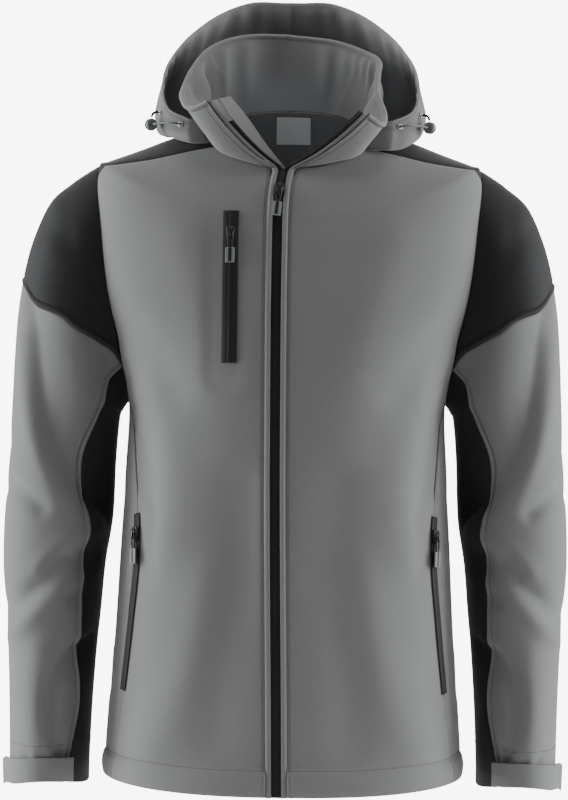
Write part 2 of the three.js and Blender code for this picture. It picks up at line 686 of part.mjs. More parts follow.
// Strip on the body along a line, for the pocket zips
function bodyStrip(side, pocket, turnOf) {
  const steps = evenly(7).map((f) => pocket.topStep + (pocket.endStep - pocket.topStep) * f);
  const layer = (distance) => steps.map((step) => [-1, 0, 1].map((edge) => {
    const middle = bodyPoint(side, step, turnOf(step));
    const frame = lineFrame(side, step, turnOf);
    return middle.addScaledVector(frame.across, edge * pocket.half).addScaledVector(frame.out, distance);
  }));
  return wallGeometry(layer(pocket.lift + TAPE_CLOTH), layer(pocket.lift));
}

// Directions on the body at a point of a line: across it, out of the cloth, and up along it.
// The line is given by the turn at each step.
function lineFrame(side, step, turnOf) {
  const e = 0.01;
  const turn = turnOf(step);
  const above = bodyPoint(side, step + e, turnOf(step + e));
  const up = above.sub(bodyPoint(side, step - e, turnOf(step - e))).normalize();
  const beside = bodyPoint(side, step, turn + 1).sub(bodyPoint(side, step, turn - 1));
  const out = new THREE.Vector3().crossVectors(up, beside).normalize();
  if (out.dot(bodyPoint(side, step, turn).sub(BODY_CENTRE)) < 0) out.negate();
  const across = new THREE.Vector3().crossVectors(up, out).normalize();
  return { across, out, up };
}

function chestTurn(step) {
  return turnAtWidth(step, -CHEST_POCKET.x);
}

function pocketTurn(step) {
  return turnAtDepth(step, -between(SEAMS, 'step', 'sideFront', step));
}

function addPockets() {
  add('chest_zip', bodyStrip(-1, CHEST_POCKET, chestTurn), TAPE);
  for (const { name, side } of SIDES) {
    add(`pocket_zip_${name}`, bodyStrip(side, HAND_POCKET, pocketTurn), TAPE);
  }
}

// Label on the inside of the back, below the neck seam
function addLabel() {
  const half = LABEL_BOX.width / 2;
  const label = (u, v) => {
    const step = LABEL_BOX.endStep + (LABEL_BOX.topStep - LABEL_BOX.endStep) * v;
    const front = turnAtWidth(step, LABEL_BOX.x - half + LABEL_BOX.width * u);
    return bodyPoint(1, step, -front);
  };
  const lift = -CLOTH - LABEL_BOX.gap;
  add('neck_label', clothWall(label, evenly(4), evenly(2), LABEL_BOX.cloth, BODY_CENTRE, lift), LABEL);
}

const wasm = await Module();
wasm.setup();

function toSolid(geometry) {
  const bare = geometry.clone();
  bare.deleteAttribute('normal');
  bare.deleteAttribute('uv');
  const merged = mergeVertices(bare, 1e-4);
  return new wasm.Manifold(new wasm.Mesh({
    numProp: 3,
    vertProperties: new Float32Array(merged.attributes.position.array),
    triVerts: new Uint32Array(merged.index.array),
  }));
}

function toGeometry(solid) {
  const mesh = solid.getMesh();
  const geometry = new THREE.BufferGeometry();
  geometry.setAttribute('position', new THREE.BufferAttribute(new Float32Array(mesh.vertProperties), 3));
  geometry.setIndex(new THREE.BufferAttribute(new Uint32Array(mesh.triVerts), 1));
  geometry.computeVertexNormals();
  return geometry;
}

function joined(first, second) {
  return toGeometry(toSolid(first).add(toSolid(second)));
}

// Outline in the plane across (x) and up (z), given depth towards +y from front
function plate(shape, front, depth) {
  const geometry = new THREE.ExtrudeGeometry(shape, { depth, bevelEnabled: false, steps: 1 });
  geometry.rotateX(Math.PI / 2);
  geometry.translate(0, front + depth, 0);
  return geometry;
}

// Outline with cut corners, its middle at the height given
function cutCorners(width, height, cut, middle = 0) {
  const w = width / 2;
  const h = height / 2;
  const shape = new THREE.Shape();
  const corners = [[-w, cut - h], [cut - w, -h], [w - cut, -h], [w, cut - h],
    [w, h - cut], [w - cut, h], [cut - w, h], [-w, h - cut]];
  corners.forEach(([x, z], i) => (i ? shape.lineTo(x, z + middle) : shape.moveTo(x, z + middle)));
  return shape;
}

// Slider: a wide body and a narrow arch over the pin of the pull tab, which lies at the origin
function sliderGeometry() {
  const bodyFront = PIN_HALF + PIN_ROOM;
  const body = plate(cutCorners(SLIDER_WIDTH, SLIDER_HEIGHT, 2.4), bodyFront, SLIDER_DEPTH);
  const crown = PIN_HALF + PIN_ROOM + ARCH_CLOTH;
  const inner = ARCH_HALF - ARCH_CLOTH;
  const profile = new THREE.Shape();
  const outline = [[-bodyFront - 0.6, ARCH_HALF], [crown - 0.8, ARCH_HALF - 0.4], [crown, ARCH_HALF - 1.4],
    [crown, 1.4 - ARCH_HALF], [crown - 0.8, 0.4 - ARCH_HALF], [-bodyFront - 0.6, -ARCH_HALF],
    [-bodyFront - 0.6, -inner], [crown - ARCH_CLOTH, -inner], [crown - ARCH_CLOTH, inner],
    [-bodyFront - 0.6, inner]];
  outline.forEach(([out, up], i) => (i ? profile.lineTo(out, up) : profile.moveTo(out, up)));
  const arch = new THREE.ExtrudeGeometry(profile, { depth: ARCH_WIDTH, bevelEnabled: false, steps: 1 });
  const outwards = new THREE.Vector3(0, -1, 0);
  const upwards = new THREE.Vector3(0, 0, 1);
  const sideways = new THREE.Vector3().crossVectors(outwards, upwards);
  arch.applyMatrix4(new THREE.Matrix4().makeBasis(outwards, upwards, sideways));
  arch.translate(ARCH_WIDTH / 2, 0, 0);
  return joined(body, arch);
}

// Pull tab hanging from its pin: a bar, two arms past the arch, and the grip
function pullGeometry() {
  const shape = cutCorners(PULL_WIDTH, PULL_LENGTH, 1, PIN_HALF - PULL_LENGTH / 2);
  const hole = new THREE.Path();
  const half = PULL_EYE / 2;
  const eyeEnd = -ARCH_HALF - 1.4;
  hole.moveTo(-half, -PIN_HALF);
  hole.lineTo(half, -PIN_HALF);
  hole.lineTo(half, eyeEnd);
  hole.lineTo(-half, eyeEnd);
  shape.holes.push(hole);
  return plate(shape, -PIN_HALF, 2 * PIN_HALF);
}

// Slider and pull on a zip, at the point of the tape's outer face given, turned to lie along it
function addSlider(prefix, point, frame) {
  const rise = PIN_HALF + PIN_ROOM + SLIDER_DEPTH + SLIDER_CLEAR;
  const basis = new THREE.Matrix4().makeBasis(frame.across, frame.out.clone().negate(), frame.up);
  const place = (mesh) => {
    mesh.quaternion.setFromRotationMatrix(basis);
    mesh.position.copy(point).addScaledVector(frame.out, rise);
  };
  place(add(`${prefix}_slider`, sliderGeometry(), SLIDER));
  place(add(`${prefix}_pull`, pullGeometry(), PULL));
}

function addSliders() {
  const frontTurn = (step) => zipTurn(-1, step, 0);
  const frontPoint = bodyPoint(-1, FRONT_SLIDER_STEP, frontTurn(FRONT_SLIDER_STEP));
  addSlider('front', frontPoint, lineFrame(-1, FRONT_SLIDER_STEP, frontTurn));
  const onTape = TAPE_CLOTH + CHEST_POCKET.lift;
  const chestFrame = lineFrame(-1, CHEST_POCKET.sliderStep, chestTurn);
  const chestPoint = bodyPoint(-1, CHEST_POCKET.sliderStep, chestTurn(CHEST_POCKET.sliderStep))
    .addScaledVector(chestFrame.out, onTape);
  addSlider('chest', chestPoint, chestFrame);
  for (const { name, side } of SIDES) {
    const frame = lineFrame(side, HAND_POCKET.sliderStep, pocketTurn);
    const point = bodyPoint(side, HAND_POCKET.sliderStep, pocketTurn(HAND_POCKET.sliderStep))
      .addScaledVector(frame.out, onTape);
    addSlider(`pocket_${name}`, point, frame);
  }
}

// Frame on the hood at a row and a place down its profile
function hoodFrame(side, row, v) {
  const e = 0.02;
  const point = hoodPoint(side, row, v);
  const along = hoodPoint(side, row + e, v).sub(hoodPoint(side, row - e, v)).normalize();
  const down = hoodPoint(side, row, v + e).sub(hoodPoint(side, row, v - e)).normalize();
  const out = new THREE.Vector3().crossVectors(along, down).normalize();
  if (out.x * side < 0) out.negate();
  return { point, out };
}

// Turns +z to the direction given
function aim(mesh, point, direction) {
  mesh.quaternion.setFromUnitVectors(new THREE.Vector3(0, 0, 1), direction);
  mesh.position.copy(point);
}

// Ring round +z with its outer top edge cut off
function ringGeometry(outer, inner, depth, cut, segments) {
  const top = [[outer, depth - cut], [outer - cut, depth], [inner, depth]];
  const points = [[inner, 0], [outer, 0], ...top, [inner, 0]].map(([r, z]) => new THREE.Vector2(r, z));
  const geometry = new THREE.LatheGeometry(points, segments);
  geometry.rotateX(Math.PI / 2);
  return geometry;
}

// Solid of a flat outline carried along a route of points
function alongRoute(section, route, side, steps) {
  const curve = new THREE.CatmullRomCurve3(route.map(([x, y, z]) => new THREE.Vector3(side * x, y, z)));
  return new THREE.ExtrudeGeometry(section, { steps, extrudePath: curve });
}

function cordSection(sides) {
  const section = new THREE.Shape();
  for (let i = 0; i < sides; i += 1) {
    const angle = (i * 2 * Math.PI) / sides;
    const x = (CORD_DIAMETER / 2) * Math.cos(angle);
    const y = (CORD_DIAMETER / 2) * Math.sin(angle);
    if (i) section.lineTo(x, y);
    else section.moveTo(x, y);
  }
  return section;
}

function addHoodCords() {
  const strap = cutCorners(TETHER_CLOTH, TETHER_WIDTH, 0.2);
  for (const { name, side } of SIDES) {
    for (const { part, row, v } of HOOD_EYELETS) {
      const { point, out } = hoodFrame(side, row, v);
      const ring = ringGeometry(EYELET_RADIUS, EYELET_HOLE, EYELET_DEPTH, EYELET_CUT, 12);
      aim(add(`eyelet_${part}_${name}`, ring, METAL), point.addScaledVector(out, EYELET_LIFT), out);
    }
    add(`hood_cord_${name}`, alongRoute(cordSection(8), HOOD_CORD, side, 12), CORD);
    add(`tether_${name}`, alongRoute(strap, TETHER, side, 6), TAPE);
    const [start, end] = TOGGLE.map(([x, y, z]) => new THREE.Vector3(side * x, y, z));
    const axis = end.sub(start);
    const hole = CORD_DIAMETER / 2 + TOGGLE_ROOM;
    const barrel = ringGeometry(TOGGLE_RADIUS, hole, axis.length(), TOGGLE_CUT, 14);
    aim(add(`toggle_${name}`, barrel, SLIDER), start, axis.normalize());
  }
}

addBodyPanels();
addSleeves();
addCuffTabs();
addCollar();
addWindFlap();
addHood();
addMainZip();
addPockets();
addLabel();
addSliders();
addHoodCords();

export default jacket;
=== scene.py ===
# Looks of a hooded softshell jacket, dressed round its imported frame.
# Lengths are millimetres in the tables and metres in Blender. +Z is up and the front faces -Y.
# Left and right are those of someone looking at the front: left is -X.
import math

import bmesh
import bpy
import numpy as np
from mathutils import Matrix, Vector
from mathutils.bvhtree import BVHTree


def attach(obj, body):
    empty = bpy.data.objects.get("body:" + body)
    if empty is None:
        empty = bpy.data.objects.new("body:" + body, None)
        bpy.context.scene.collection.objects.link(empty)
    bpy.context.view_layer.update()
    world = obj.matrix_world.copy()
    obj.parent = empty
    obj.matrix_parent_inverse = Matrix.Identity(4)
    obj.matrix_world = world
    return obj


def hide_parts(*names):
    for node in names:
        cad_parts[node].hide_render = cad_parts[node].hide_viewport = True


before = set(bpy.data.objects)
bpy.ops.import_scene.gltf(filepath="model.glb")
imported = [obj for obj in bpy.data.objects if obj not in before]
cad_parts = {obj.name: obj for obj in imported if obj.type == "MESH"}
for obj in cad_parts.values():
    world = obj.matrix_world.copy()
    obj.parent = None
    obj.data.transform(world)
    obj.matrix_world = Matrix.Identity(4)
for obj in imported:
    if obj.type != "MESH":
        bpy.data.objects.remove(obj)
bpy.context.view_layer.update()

MM = 0.001

# Cloth
CLOTH = 2.0
COLLAR_CLOTH = 3.0
SEAM_GAP = -0.05
TAPE_CLOTH = 1.2
TAPE_SINK = 0.6
WELT_INNER = 5.3
WELT_CLOTH = 3.0
WELT_RISE = 1.4
FRONT_START = 11.3
FRONT_START_NECK = 14.0
ARMHOLE_FRONT = 62.0
ARMHOLE_BACK = 70.0
ARMHOLE_INSET = 0.0
ARMHOLE_MIDDLE = 1.5
ARMHOLE_HALF = 0.5
ARMHOLE_HEIGHT = 260.0
SLEEVE_START = -0.2
SLEEVE_SQUARE = 2.2
LAST_ROW = 15.0

# Angles round the armhole, in degrees from the shoulder, at which seams meet it
YOKE_ANGLE = 30.0
CAP_ANGLE = 136.6
UNDER_ANGLE = 137.0
SIDE_ANGLE = 158.5
NECK_STEP = 3.0


def table(columns, rows):
    """Columns of a table by name, as arrays; the first one is the key by which a row is found."""
    return dict(zip(columns.split(), np.array(rows, float).T))


# Body rings from the hem (step 0) past the underarm (1) and shoulder (2) to the neck seam (3)
BODY = table("step zFront zSide zBack wide front back square drop", [
    [0.0, -699, -692, -694, 194, 138, 104, 2.5, 2.0],
    [0.1, -668, -662, -664, 192.5, 138, 102, 2.5, 2.0],
    [0.3, -602, -600, -600, 188.5, 137, 97, 2.5, 2.0],
    [0.5, -522, -522, -522, 184, 135, 90, 2.5, 2.0],
    [0.7, -440, -440, -440, 180, 132, 85, 2.5, 2.0],
    [0.85, -367, -365, -365, 176, 130, 92, 2.45, 2.0],
    [1.0, -296, -290, -290, 173.5, 131, 102, 2.4, 2.0],
    [1.2, -240, -236, -228, 189, 132, 110, 2.4, 2.0],
    [1.5, -178, -158, -150, 212, 129, 112, 2.4, 2.0],
    [1.8, -124, -74, -78, 217, 122, 106, 2.4, 2.0],
    [2.0, -94, -31, -38, 208.5, 115, 98, 2.4, 2.0],
    [2.06, -89, -27.6, -32, 200, 113.5, 97, 2.4, 2.0],
    [2.3, -73, -15, -10, 166, 108, 92, 2.4, 1.8],
    [2.6, -57, 0, 15, 128, 101, 85, 2.4, 1.6],
    [3.0, -41, 12, 40, 89, 93, 72, 2.4, 1.4],
])
SEAMS = table("step zip sideFront sideBack", [
    [0.0, -6.5, 66, 52],
    [0.3, -8, 74, 50],
    [0.5, -9.5, 79, 48],
    [0.7, -11, 80.5, 46],
    [0.85, -12, 66, 42],
    [0.96, -12.4, 46, 32],
    [1.0, -12.5, 32, 28],
    [1.035, -12.6, 22.7, 25.7],
    [1.5, -13, 22.7, 25.7],
    [2.3, -11.5, 22.7, 25.7],
    [3.0, -6.5, 22.7, 25.7],
])
YOKE_NECK_FRONT = 60.0
YOKE_NECK_BACK = 46.0
YOKE_CURVE = 5
YOKE_GAP = 1.0

# Sleeve rings from the armhole (row 0, taken from the body) to the cuff (row 15)
SLEEVE = table("row xOut zOut xIn zIn front back bow under", [
    [1, 234.5, -48, 175.2, -291.2, 66, 74, 11, 43],
    [2, 260, -70, 175.6, -291.8, 69, 77, 9, 43],
    [3, 277, -105, 176.2, -292.6, 71, 78, 7, 43],
    [4, 288, -143, 177, -293.8, 72, 79, 5, 43],
    [5, 295.5, -190, 178.2, -295.6, 73, 79, 3, 43],
    [6, 299, -245, 180.2, -299, 73, 78, 1, 43],
    [7, 301.5, -305, 183.5, -308, 72, 76, 0, 47],
    [8, 304, -360, 187, -352, 70, 72, 0, 60],
    [9, 308, -418, 189.5, -415, 70, 68, 0, 52],
    [10, 308.5, -470, 197, -465, 70, 60, 0, 46],
    [11, 304, -520, 201.5, -517, 70, 54, 0, 48],
    [12, 302, -560, 205.5, -558, 70, 48, 0, 43],
    [13, 300, -620, 209.5, -617, 71, 40, 0, 37],
    [14, 299, -678, 212, -675, 70, 36, -5, 46],
    [15, 298, -708, 212.5, -705, 69, 36, -9, 46],
])
CAP_SEAM = table("angle row", [
    [0, 4.4],
    [30, 4.4],
    [60, 4.3],
    [90, 3.25],
    [105, 2.25],
    [118, 0.8],
    [137, 0],
])

# Top edge of the open collar, by the angle round the neck from the centre front
COLLAR = {
    -1: table("angle x y z bulge sag", [
        [2, -84, -100, 32, 3, 6],
        [26, -108, -84, 24, 5, 9],
        [48, -120, -54, 38, -4, 0],
        [66, -119, -25, 54, -3, -3],
        [85, -111, 6, 79, 0, 0],
        [108, -95, 36, 105, 4, 0],
        [132, -72, 62, 121, 3, 0],
        [156, -42, 80, 129, 2, 0],
        [180, -4, 87, 130, 2, 0],
    ]),
    1: table("angle x y z bulge sag", [
        [2, 79, -103, 20, 3, 6],
        [26, 99, -86, 9, 5, 7],
        [48, 104, -60, 22, -3, 0],
        [66, 97, -35, 48, -2, -2],
        [85, 97, -8, 72, 1, 0],
        [108, 99, 22, 93, 4, 0],
        [132, 86, 46, 106, 3, 0],
        [156, 50, 73, 122, 2, 0],
        [180, -4, 87, 130, 2, 0],
    ]),
}
EDGE_ANGLE = 2.0
COLLAR_PLAIN = 0.9
COLLAR_START = 6.3
NECK_RISE = 0.6

# Hood profiles from the centre (0) to the front end (8): opening edge, outermost and lowest point
HOOD = table("row rimX rimY rimZ outX outY outZ lowX lowY lowZ neck", [
    [0, 0, 102, 170, 0, 188, 108, 0, 150, 14, 179.6],
    [1, 40, 99, 167, 50, 184, 104, 45, 148, 10, 160],
    [2, 76, 89, 151, 95, 160, 90, 86, 132, 2, 140],
    [3, 108, 69, 125, 126, 116, 72, 114, 100, 6, 122],
    [4, 127, 42, 101, 144, 66, 50, 128, 62, 12, 108],
    [5, 138, 10, 78, 148.5, 20, 30, 136, 24, 10, 94],
    [6, 140, -20, 52, 147.5, -14, 20, 135, -12, 5, 82],
    [7, 132, -43, 28, 135, -44, 11, 123, -38, 2, 73],
    [8, 109, -58, 15, 110, -60, 6, 104, -54, -1, 66],
])
HOOD_NECK_OUT = 2.6
HOOD_NECK_RISE = 4.0
HOOD_STATIONS = np.array([0, 0.36, 0.74, 1.0])
HOOD_ROWS = 8.0

# Free edge of the inner wind flap, by the height along the collar's left front edge
WIND_FLAP = table("row x y z", [
    [0, -1, -89, -44],
    [0.25, -13, -87, -30],
    [0.5, -28, -87, -11],
    [0.75, -45, -86, 13],
    [1, -64, -84, 36],
])
FLAP_SEWN = -1.5
FLAP_GAP = 0.5
FLAP_CLOTH = 1.5

SIDES = {"left": -1, "right": 1}

# Pocket zips: the body steps between which they run, half their width and where the slider is
CHEST_POCKET = {"x": -61.0, "top": 2.02, "end": 1.165, "half": 8.2, "slider": 1.85}
HAND_POCKET = {"top": 0.765, "end": 0.31, "half": 5.0, "slider": 0.722}
POCKET_LIFT = 0.4
FRONT_SLIDER_STEP = 2.43


def hermite(start, end, slope, end_slope, span, f):
    """Smooth curve at a share f of the way from start to end, with the slopes at both."""
    f2 = f * f
    f3 = f2 * f
    ends = start * (2 * f3 - 3 * f2 + 1) + end * (3 * f2 - 2 * f3)
    return ends + span * (slope * (f3 - 2 * f2 + f) + end_slope * (f3 - f2))


def between(rows, column, at):
    """Values of a column along a smooth curve through the rows."""
    x = next(iter(rows.values()))
    y = rows[column]
    at = np.clip(np.asarray(at, float), x[0], x[-1])
    last = len(x) - 1
    i = np.clip(np.searchsorted(x, at, side="left") - 1, 0, last - 1)
    low = np.maximum(np.arange(last + 1) - 1, 0)
    high = np.minimum(np.arange(last + 1) + 1, last)
    slope = (y[high] - y[low]) / (x[high] - x[low])
    span = x[i + 1] - x[i]
    return hermite(y[i], y[i + 1], slope[i], slope[i + 1], span, (at - x[i]) / span)


def stack(*parts):
    return np.stack(np.broadcast_arrays(*parts), axis=-1)


def unit(v):
    return v / np.maximum(np.linalg.norm(v, axis=-1, keepdims=True), 1e-9)


def signed_power(value, power):
    return np.sign(value) * np.abs(value) ** power


def smooth(x):
    x = np.clip(x, 0, 1)
    return x * x * (3 - 2 * x)


def hump(distance, width):
    return np.exp(-(distance / width) ** 2)


def body_point(side, step, turn):
    """Point on the body; turn is the angle from the side (0) to the front (-90) or back (90)."""
    at = lambda column: between(BODY, column, step)
    c = np.cos(np.radians(turn))
    s = np.sin(np.radians(turn))
    power = 2 / at("square")
    depth = np.where(s < 0, at("front"), at("back"))
    end = np.where(s < 0, at("zFront"), at("zBack"))
    z = at("zSide") + (end - at("zSide")) * np.abs(s) ** at("drop")
    return stack(side * at("wide") * signed_power(c, power), depth * signed_power(s, power), z)


def turn_at_depth(step, y):
    depth = np.where(y < 0, between(BODY, "front", step), between(BODY, "back", step))
    s = np.minimum(np.abs(y) / depth, 1) ** (between(BODY, "square", step) / 2)
    return np.sign(y) * np.degrees(np.arcsin(s))


def turn_at_width(step, x):
    c = np.abs(x / between(BODY, "wide", step)) ** (between(BODY, "square", step) / 2)
    turn = np.degrees(np.arccos(np.minimum(c, 1)))
    return np.where(x < 0, turn - 180, -turn)


def armhole_step(angle, inset=0.0):
    return ARMHOLE_MIDDLE + (ARMHOLE_HALF - inset / ARMHOLE_HEIGHT) * np.cos(np.radians(angle))


def armhole_turn(angle, front, inset=0.0):
    reach = np.where(front, -ARMHOLE_FRONT, ARMHOLE_BACK) * (1 - inset / ARMHOLE_FRONT)
    return turn_at_depth(armhole_step(angle, inset), reach * np.sin(np.radians(angle)))


def side_turn(front, step):
    depth = np.where(front, -between(SEAMS, "sideFront", step), between(SEAMS, "sideBack", step))
    return turn_at_depth(step, depth)


SIDE_STEP = float(armhole_step(SIDE_ANGLE))
YOKE_STEP = float(armhole_step(YOKE_ANGLE))
SIDE_SHARE = 0.5
ARM_SHARE = 0.82


def yoke_turn(front, step):
    part = (step - YOKE_STEP) / (NECK_STEP - YOKE_STEP)
    start = (ARMHOLE_FRONT if front else ARMHOLE_BACK) * math.sin(math.radians(YOKE_ANGLE))
    end = YOKE_NECK_FRONT if front else YOKE_NECK_BACK
    depth = start + (end - start) * (1 - (1 - np.clip(part, 0, 1)) ** YOKE_CURVE)
    return turn_at_depth(step, (-1 if front else 1) * depth)


def panel_edge(front, v):
    """Step and turn of a front or back panel's outer edge, from the hem (v 0) to the neck (v 1)."""
    v = np.asarray(v, float)
    low = SIDE_STEP * np.clip(v / SIDE_SHARE, 0, 1)
    f = np.clip((v - SIDE_SHARE) / (ARM_SHARE - SIDE_SHARE), 0, 1)
    angle = SIDE_ANGLE + (YOKE_ANGLE - SIDE_ANGLE) * f
    high = YOKE_STEP + (NECK_STEP - YOKE_STEP) * np.clip((v - ARM_SHARE) / (1 - ARM_SHARE), 0, 1)
    step = np.where(v < SIDE_SHARE, low, np.where(v < ARM_SHARE, armhole_step(angle), high))
    turn = np.where(v < SIDE_SHARE, side_turn(front, low),
                    np.where(v < ARM_SHARE, armhole_turn(angle, front), yoke_turn(front, high)))
    return step, turn


def zip_turn(side, step, distance):
    return turn_at_width(step, side * between(SEAMS, "zip", step) + distance)


def gap_turn(step):
    return np.degrees(SEAM_GAP / between(BODY, "wide", step)) * 1.3


def front_surface(side):
    def surface(u, v):
        step, turn = panel_edge(True, v)
        flare = np.maximum(step - 2.6, 0) / 0.4
        start = zip_turn(side, step, FRONT_START + (FRONT_START_NECK - FRONT_START) * flare)
        return body_point(side, step, start + (turn - gap_turn(step) - start) * u)
    return surface


def side_surface(side):
    def surface(u, v):
        across = u * 2 - 1
        angle = 180 - (180 - SIDE_ANGLE) * np.abs(across)
        step = (armhole_step(angle) - SEAM_GAP / 200) * v
        edge = side_turn(across < 0, np.minimum(v * SIDE_STEP, SIDE_STEP))
        return body_point(side, step, (np.abs(edge) - gap_turn(step)) * across)
    return surface


def yoke_surface(side):
    def surface(u, v):
        across = u * 2 - 1
        low = armhole_step(YOKE_ANGLE * np.abs(across)) + SEAM_GAP / 200
        edge_step = YOKE_STEP + (NECK_STEP - YOKE_STEP) * v
        step = low + (NECK_STEP - low) * v
        edge = np.abs(np.where(across < 0, yoke_turn(True, edge_step), yoke_turn(False, edge_step)))
        return body_point(side, step, (edge - YOKE_GAP * gap_turn(step)) * across)
    return surface


def back_surface(u, v):
    step, turn = panel_edge(False, v)
    start = turn + gap_turn(step)
    return body_point(1, step, start + (180 - 2 * start) * u)


def sleeve_ring(row, angle):
    at = lambda column: between(SLEEVE, column, row)
    c = signed_power(np.cos(np.radians(angle)), 2 / SLEEVE_SQUARE)
    s = signed_power(np.sin(np.radians(angle)), 2 / SLEEVE_SQUARE)
    span_x = (at("xOut") - at("xIn")) / 2
    span_z = (at("zOut") - at("zIn")) / 2
    half = np.hypot(span_x, span_z)
    depth = np.where(s > 0, at("front"), at("back"))
    bow = at("bow") * s * s
    return stack((at("xOut") + at("xIn")) / 2 + span_x * c + span_z / half * bow,
                 -depth * s,
                 (at("zOut") + at("zIn")) / 2 + span_z * c - span_x / half * bow)


def armhole_point(angle):
    turned = np.mod(angle, 360)
    front = turned < 180
    fold = np.where(front, turned, 360 - turned)
    point = body_point(1, armhole_step(fold, ARMHOLE_INSET), armhole_turn(fold, front, ARMHOLE_INSET))
    return point + np.array([SLEEVE_START, 0, 0])


def sleeve_point(side, row, angle):
    """Sleeve surface: the armhole itself, then a smooth curve through the rings."""
    row, angle = np.broadcast_arrays(np.asarray(row, float), np.asarray(angle, float))
    ring = sleeve_ring(np.maximum(row, 1), angle)
    start = armhole_point(angle)
    end = sleeve_ring(np.ones_like(row), angle)
    slope = (sleeve_ring(np.full_like(row, 2), angle) - start) * 0.5
    first = (end - start) * 2 - slope
    f = np.clip(row, 0, 1)[..., None]
    upper = hermite(start, end, first * 0.5, slope, 1, f)
    point = np.where((row >= 1)[..., None], ring, upper)
    return point * np.array([side, 1, 1])


def cap_row(angle):
    return between(CAP_SEAM, "row", np.abs(angle))


ROW_GAP = -0.004
ANGLE_GAP = -0.1
CAP_END = 5.2
CAP_SHARE = 0.25


def cap_surface(side):
    def surface(u, v):
        angle = CAP_ANGLE * (2 * u - 1)
        return sleeve_point(side, (cap_row(angle) - ROW_GAP) * v, angle)
    return surface


def edge_angle(row):
    return 180 - between(SLEEVE, "under", np.maximum(row, 1))


def sleeve_surface(side):
    def surface(u, v):
        a = UNDER_ANGLE * (2 * u - 1)
        top = cap_row(a) + ROW_GAP * (np.abs(a) < UNDER_ANGLE)
        upper = top + (CAP_END - top) * v / CAP_SHARE
        lower = CAP_END + (LAST_ROW - CAP_END) * (v - CAP_SHARE) / (1 - CAP_SHARE)
        row = np.where(v < CAP_SHARE, upper, lower)
        return sleeve_point(side, row, a * edge_angle(row) / UNDER_ANGLE - (2 * u - 1) * ANGLE_GAP)
    return surface


def under_surface(side):
    def surface(u, v):
        row = LAST_ROW * v
        return sleeve_point(side, row, 180 + (2 * u - 1) * (180 - edge_angle(row) - ANGLE_GAP))
    return surface


def neck_point(side, angle, out, rise):
    point = body_point(side, NECK_STEP, np.asarray(angle, float) - 90)
    away = unit(point * np.array([1, 1, 0]))
    return point + away * out + np.array([0, 0, rise])


def collar_point(side, angle, v):
    angle, v = np.broadcast_arrays(np.asarray(angle, float), np.asarray(v, float))
    at = lambda column: between(COLLAR[side], column, angle)
    base = neck_point(side, angle, 0, NECK_RISE)
    shift = np.maximum(1 - (angle - EDGE_ANGLE) / 30, 0) * between(SEAMS, "zip", NECK_STEP)
    base = base + stack(shift, 0 * shift, 0 * shift)
    rim = stack(at("x"), at("y"), at("z"))
    away = unit(rim * np.array([1, 1, 0]))
    middle = (base + rim) / 2 + away * 2 * at("bulge")[..., None]
    middle = middle - stack(0 * angle, 0 * angle, 2 * at("sag"))
    v = v[..., None]
    return base * (1 - v) ** 2 + middle * 2 * v * (1 - v) + rim * v * v


def edge_point(side, v, distance):
    """Point beside the collar's front edge, a distance along the cloth from it."""
    edge = collar_point(side, EDGE_ANGLE, v)
    along = unit(collar_point(side, EDGE_ANGLE + 2, v) - edge)
    return edge + along * np.asarray(distance, float)[..., None]


def edge_normal(side, v):
    up = edge_point(side, np.minimum(v + 0.05, 1), 0) - edge_point(side, np.maximum(v - 0.05, 0), 0)
    beside = edge_point(side, v, 4) - edge_point(side, v, 0)
    out = unit(np.cross(up, beside))
    return np.where(out[..., 1:2] > 0, -out, out)


def collar_surface(u, v):
    around = u * 2 - 1
    angle = 180 - np.abs(around) * (180 - EDGE_ANGLE)
    near = (np.maximum((np.abs(around) - COLLAR_PLAIN) / (1 - COLLAR_PLAIN), 0) ** 2)[..., None]
    point = {}
    for side in (-1, 1):
        plain = collar_point(side, angle, v)
        point[side] = plain + (edge_point(side, v, COLLAR_START) - plain) * near
    return np.where((around < 0)[..., None], point[-1], point[1])


def wind_flap_surface(u, v):
    height = 0.04 + 0.93 * v
    depth = TAPE_SINK + TAPE_CLOTH + FLAP_GAP
    sewn = edge_point(-1, height, FLAP_SEWN) - edge_normal(-1, height) * depth
    free = stack(*(between(WIND_FLAP, axis, v) for axis in "xyz"))
    return sewn + (free - sewn) * u[..., None]


def hood_point(side, row, v):
    row, v = np.broadcast_arrays(np.asarray(row, float), np.asarray(v, float))
    seam = neck_point(1, between(HOOD, "neck", row), HOOD_NECK_OUT, HOOD_NECK_RISE)
    knots = [stack(*(between(HOOD, part + axis, row) for axis in "XYZ")) for part in ("rim", "out", "low")]
    knots.append(seam)
    x = HOOD_STATIONS
    i = np.clip(np.searchsorted(x, v, side="left") - 1, 0, 2)
    ends = [(max(k - 1, 0), min(k + 1, 3)) for k in range(4)]
    slopes = [(knots[b] - knots[a]) / (x[b] - x[a]) for a, b in ends]
    knots = np.stack(knots)
    slopes = np.stack(slopes)
    pick = lambda values, k: np.take_along_axis(values, k[None, ..., None], axis=0)[0]
    span = (x[i + 1] - x[i])[..., None]
    f = (v - x[i])[..., None] / span
    point = hermite(pick(knots, i), pick(knots, i + 1), pick(slopes, i), pick(slopes, i + 1), span, f)
    return point * np.array([side, 1, 1])


HOOD_SEAM = 0.06
HOOD_END = {-1: 16.0, 1: 26.0}
HOOD_SHARE = 0.94
# How far the hood's lower edge hangs below its seam line towards the front
HOOD_HANG = table("row left right", [
    [0, 0, 0],
    [4, 0, 0],
    [5, 4, 3],
    [6, 6, 4],
    [6.5, 8, 6],
    [7, 8, 10],
    [7.5, 8, 16],
    [8, 8, 18],
])
HANG_FORWARD = 0.75
CROWN = 5.5


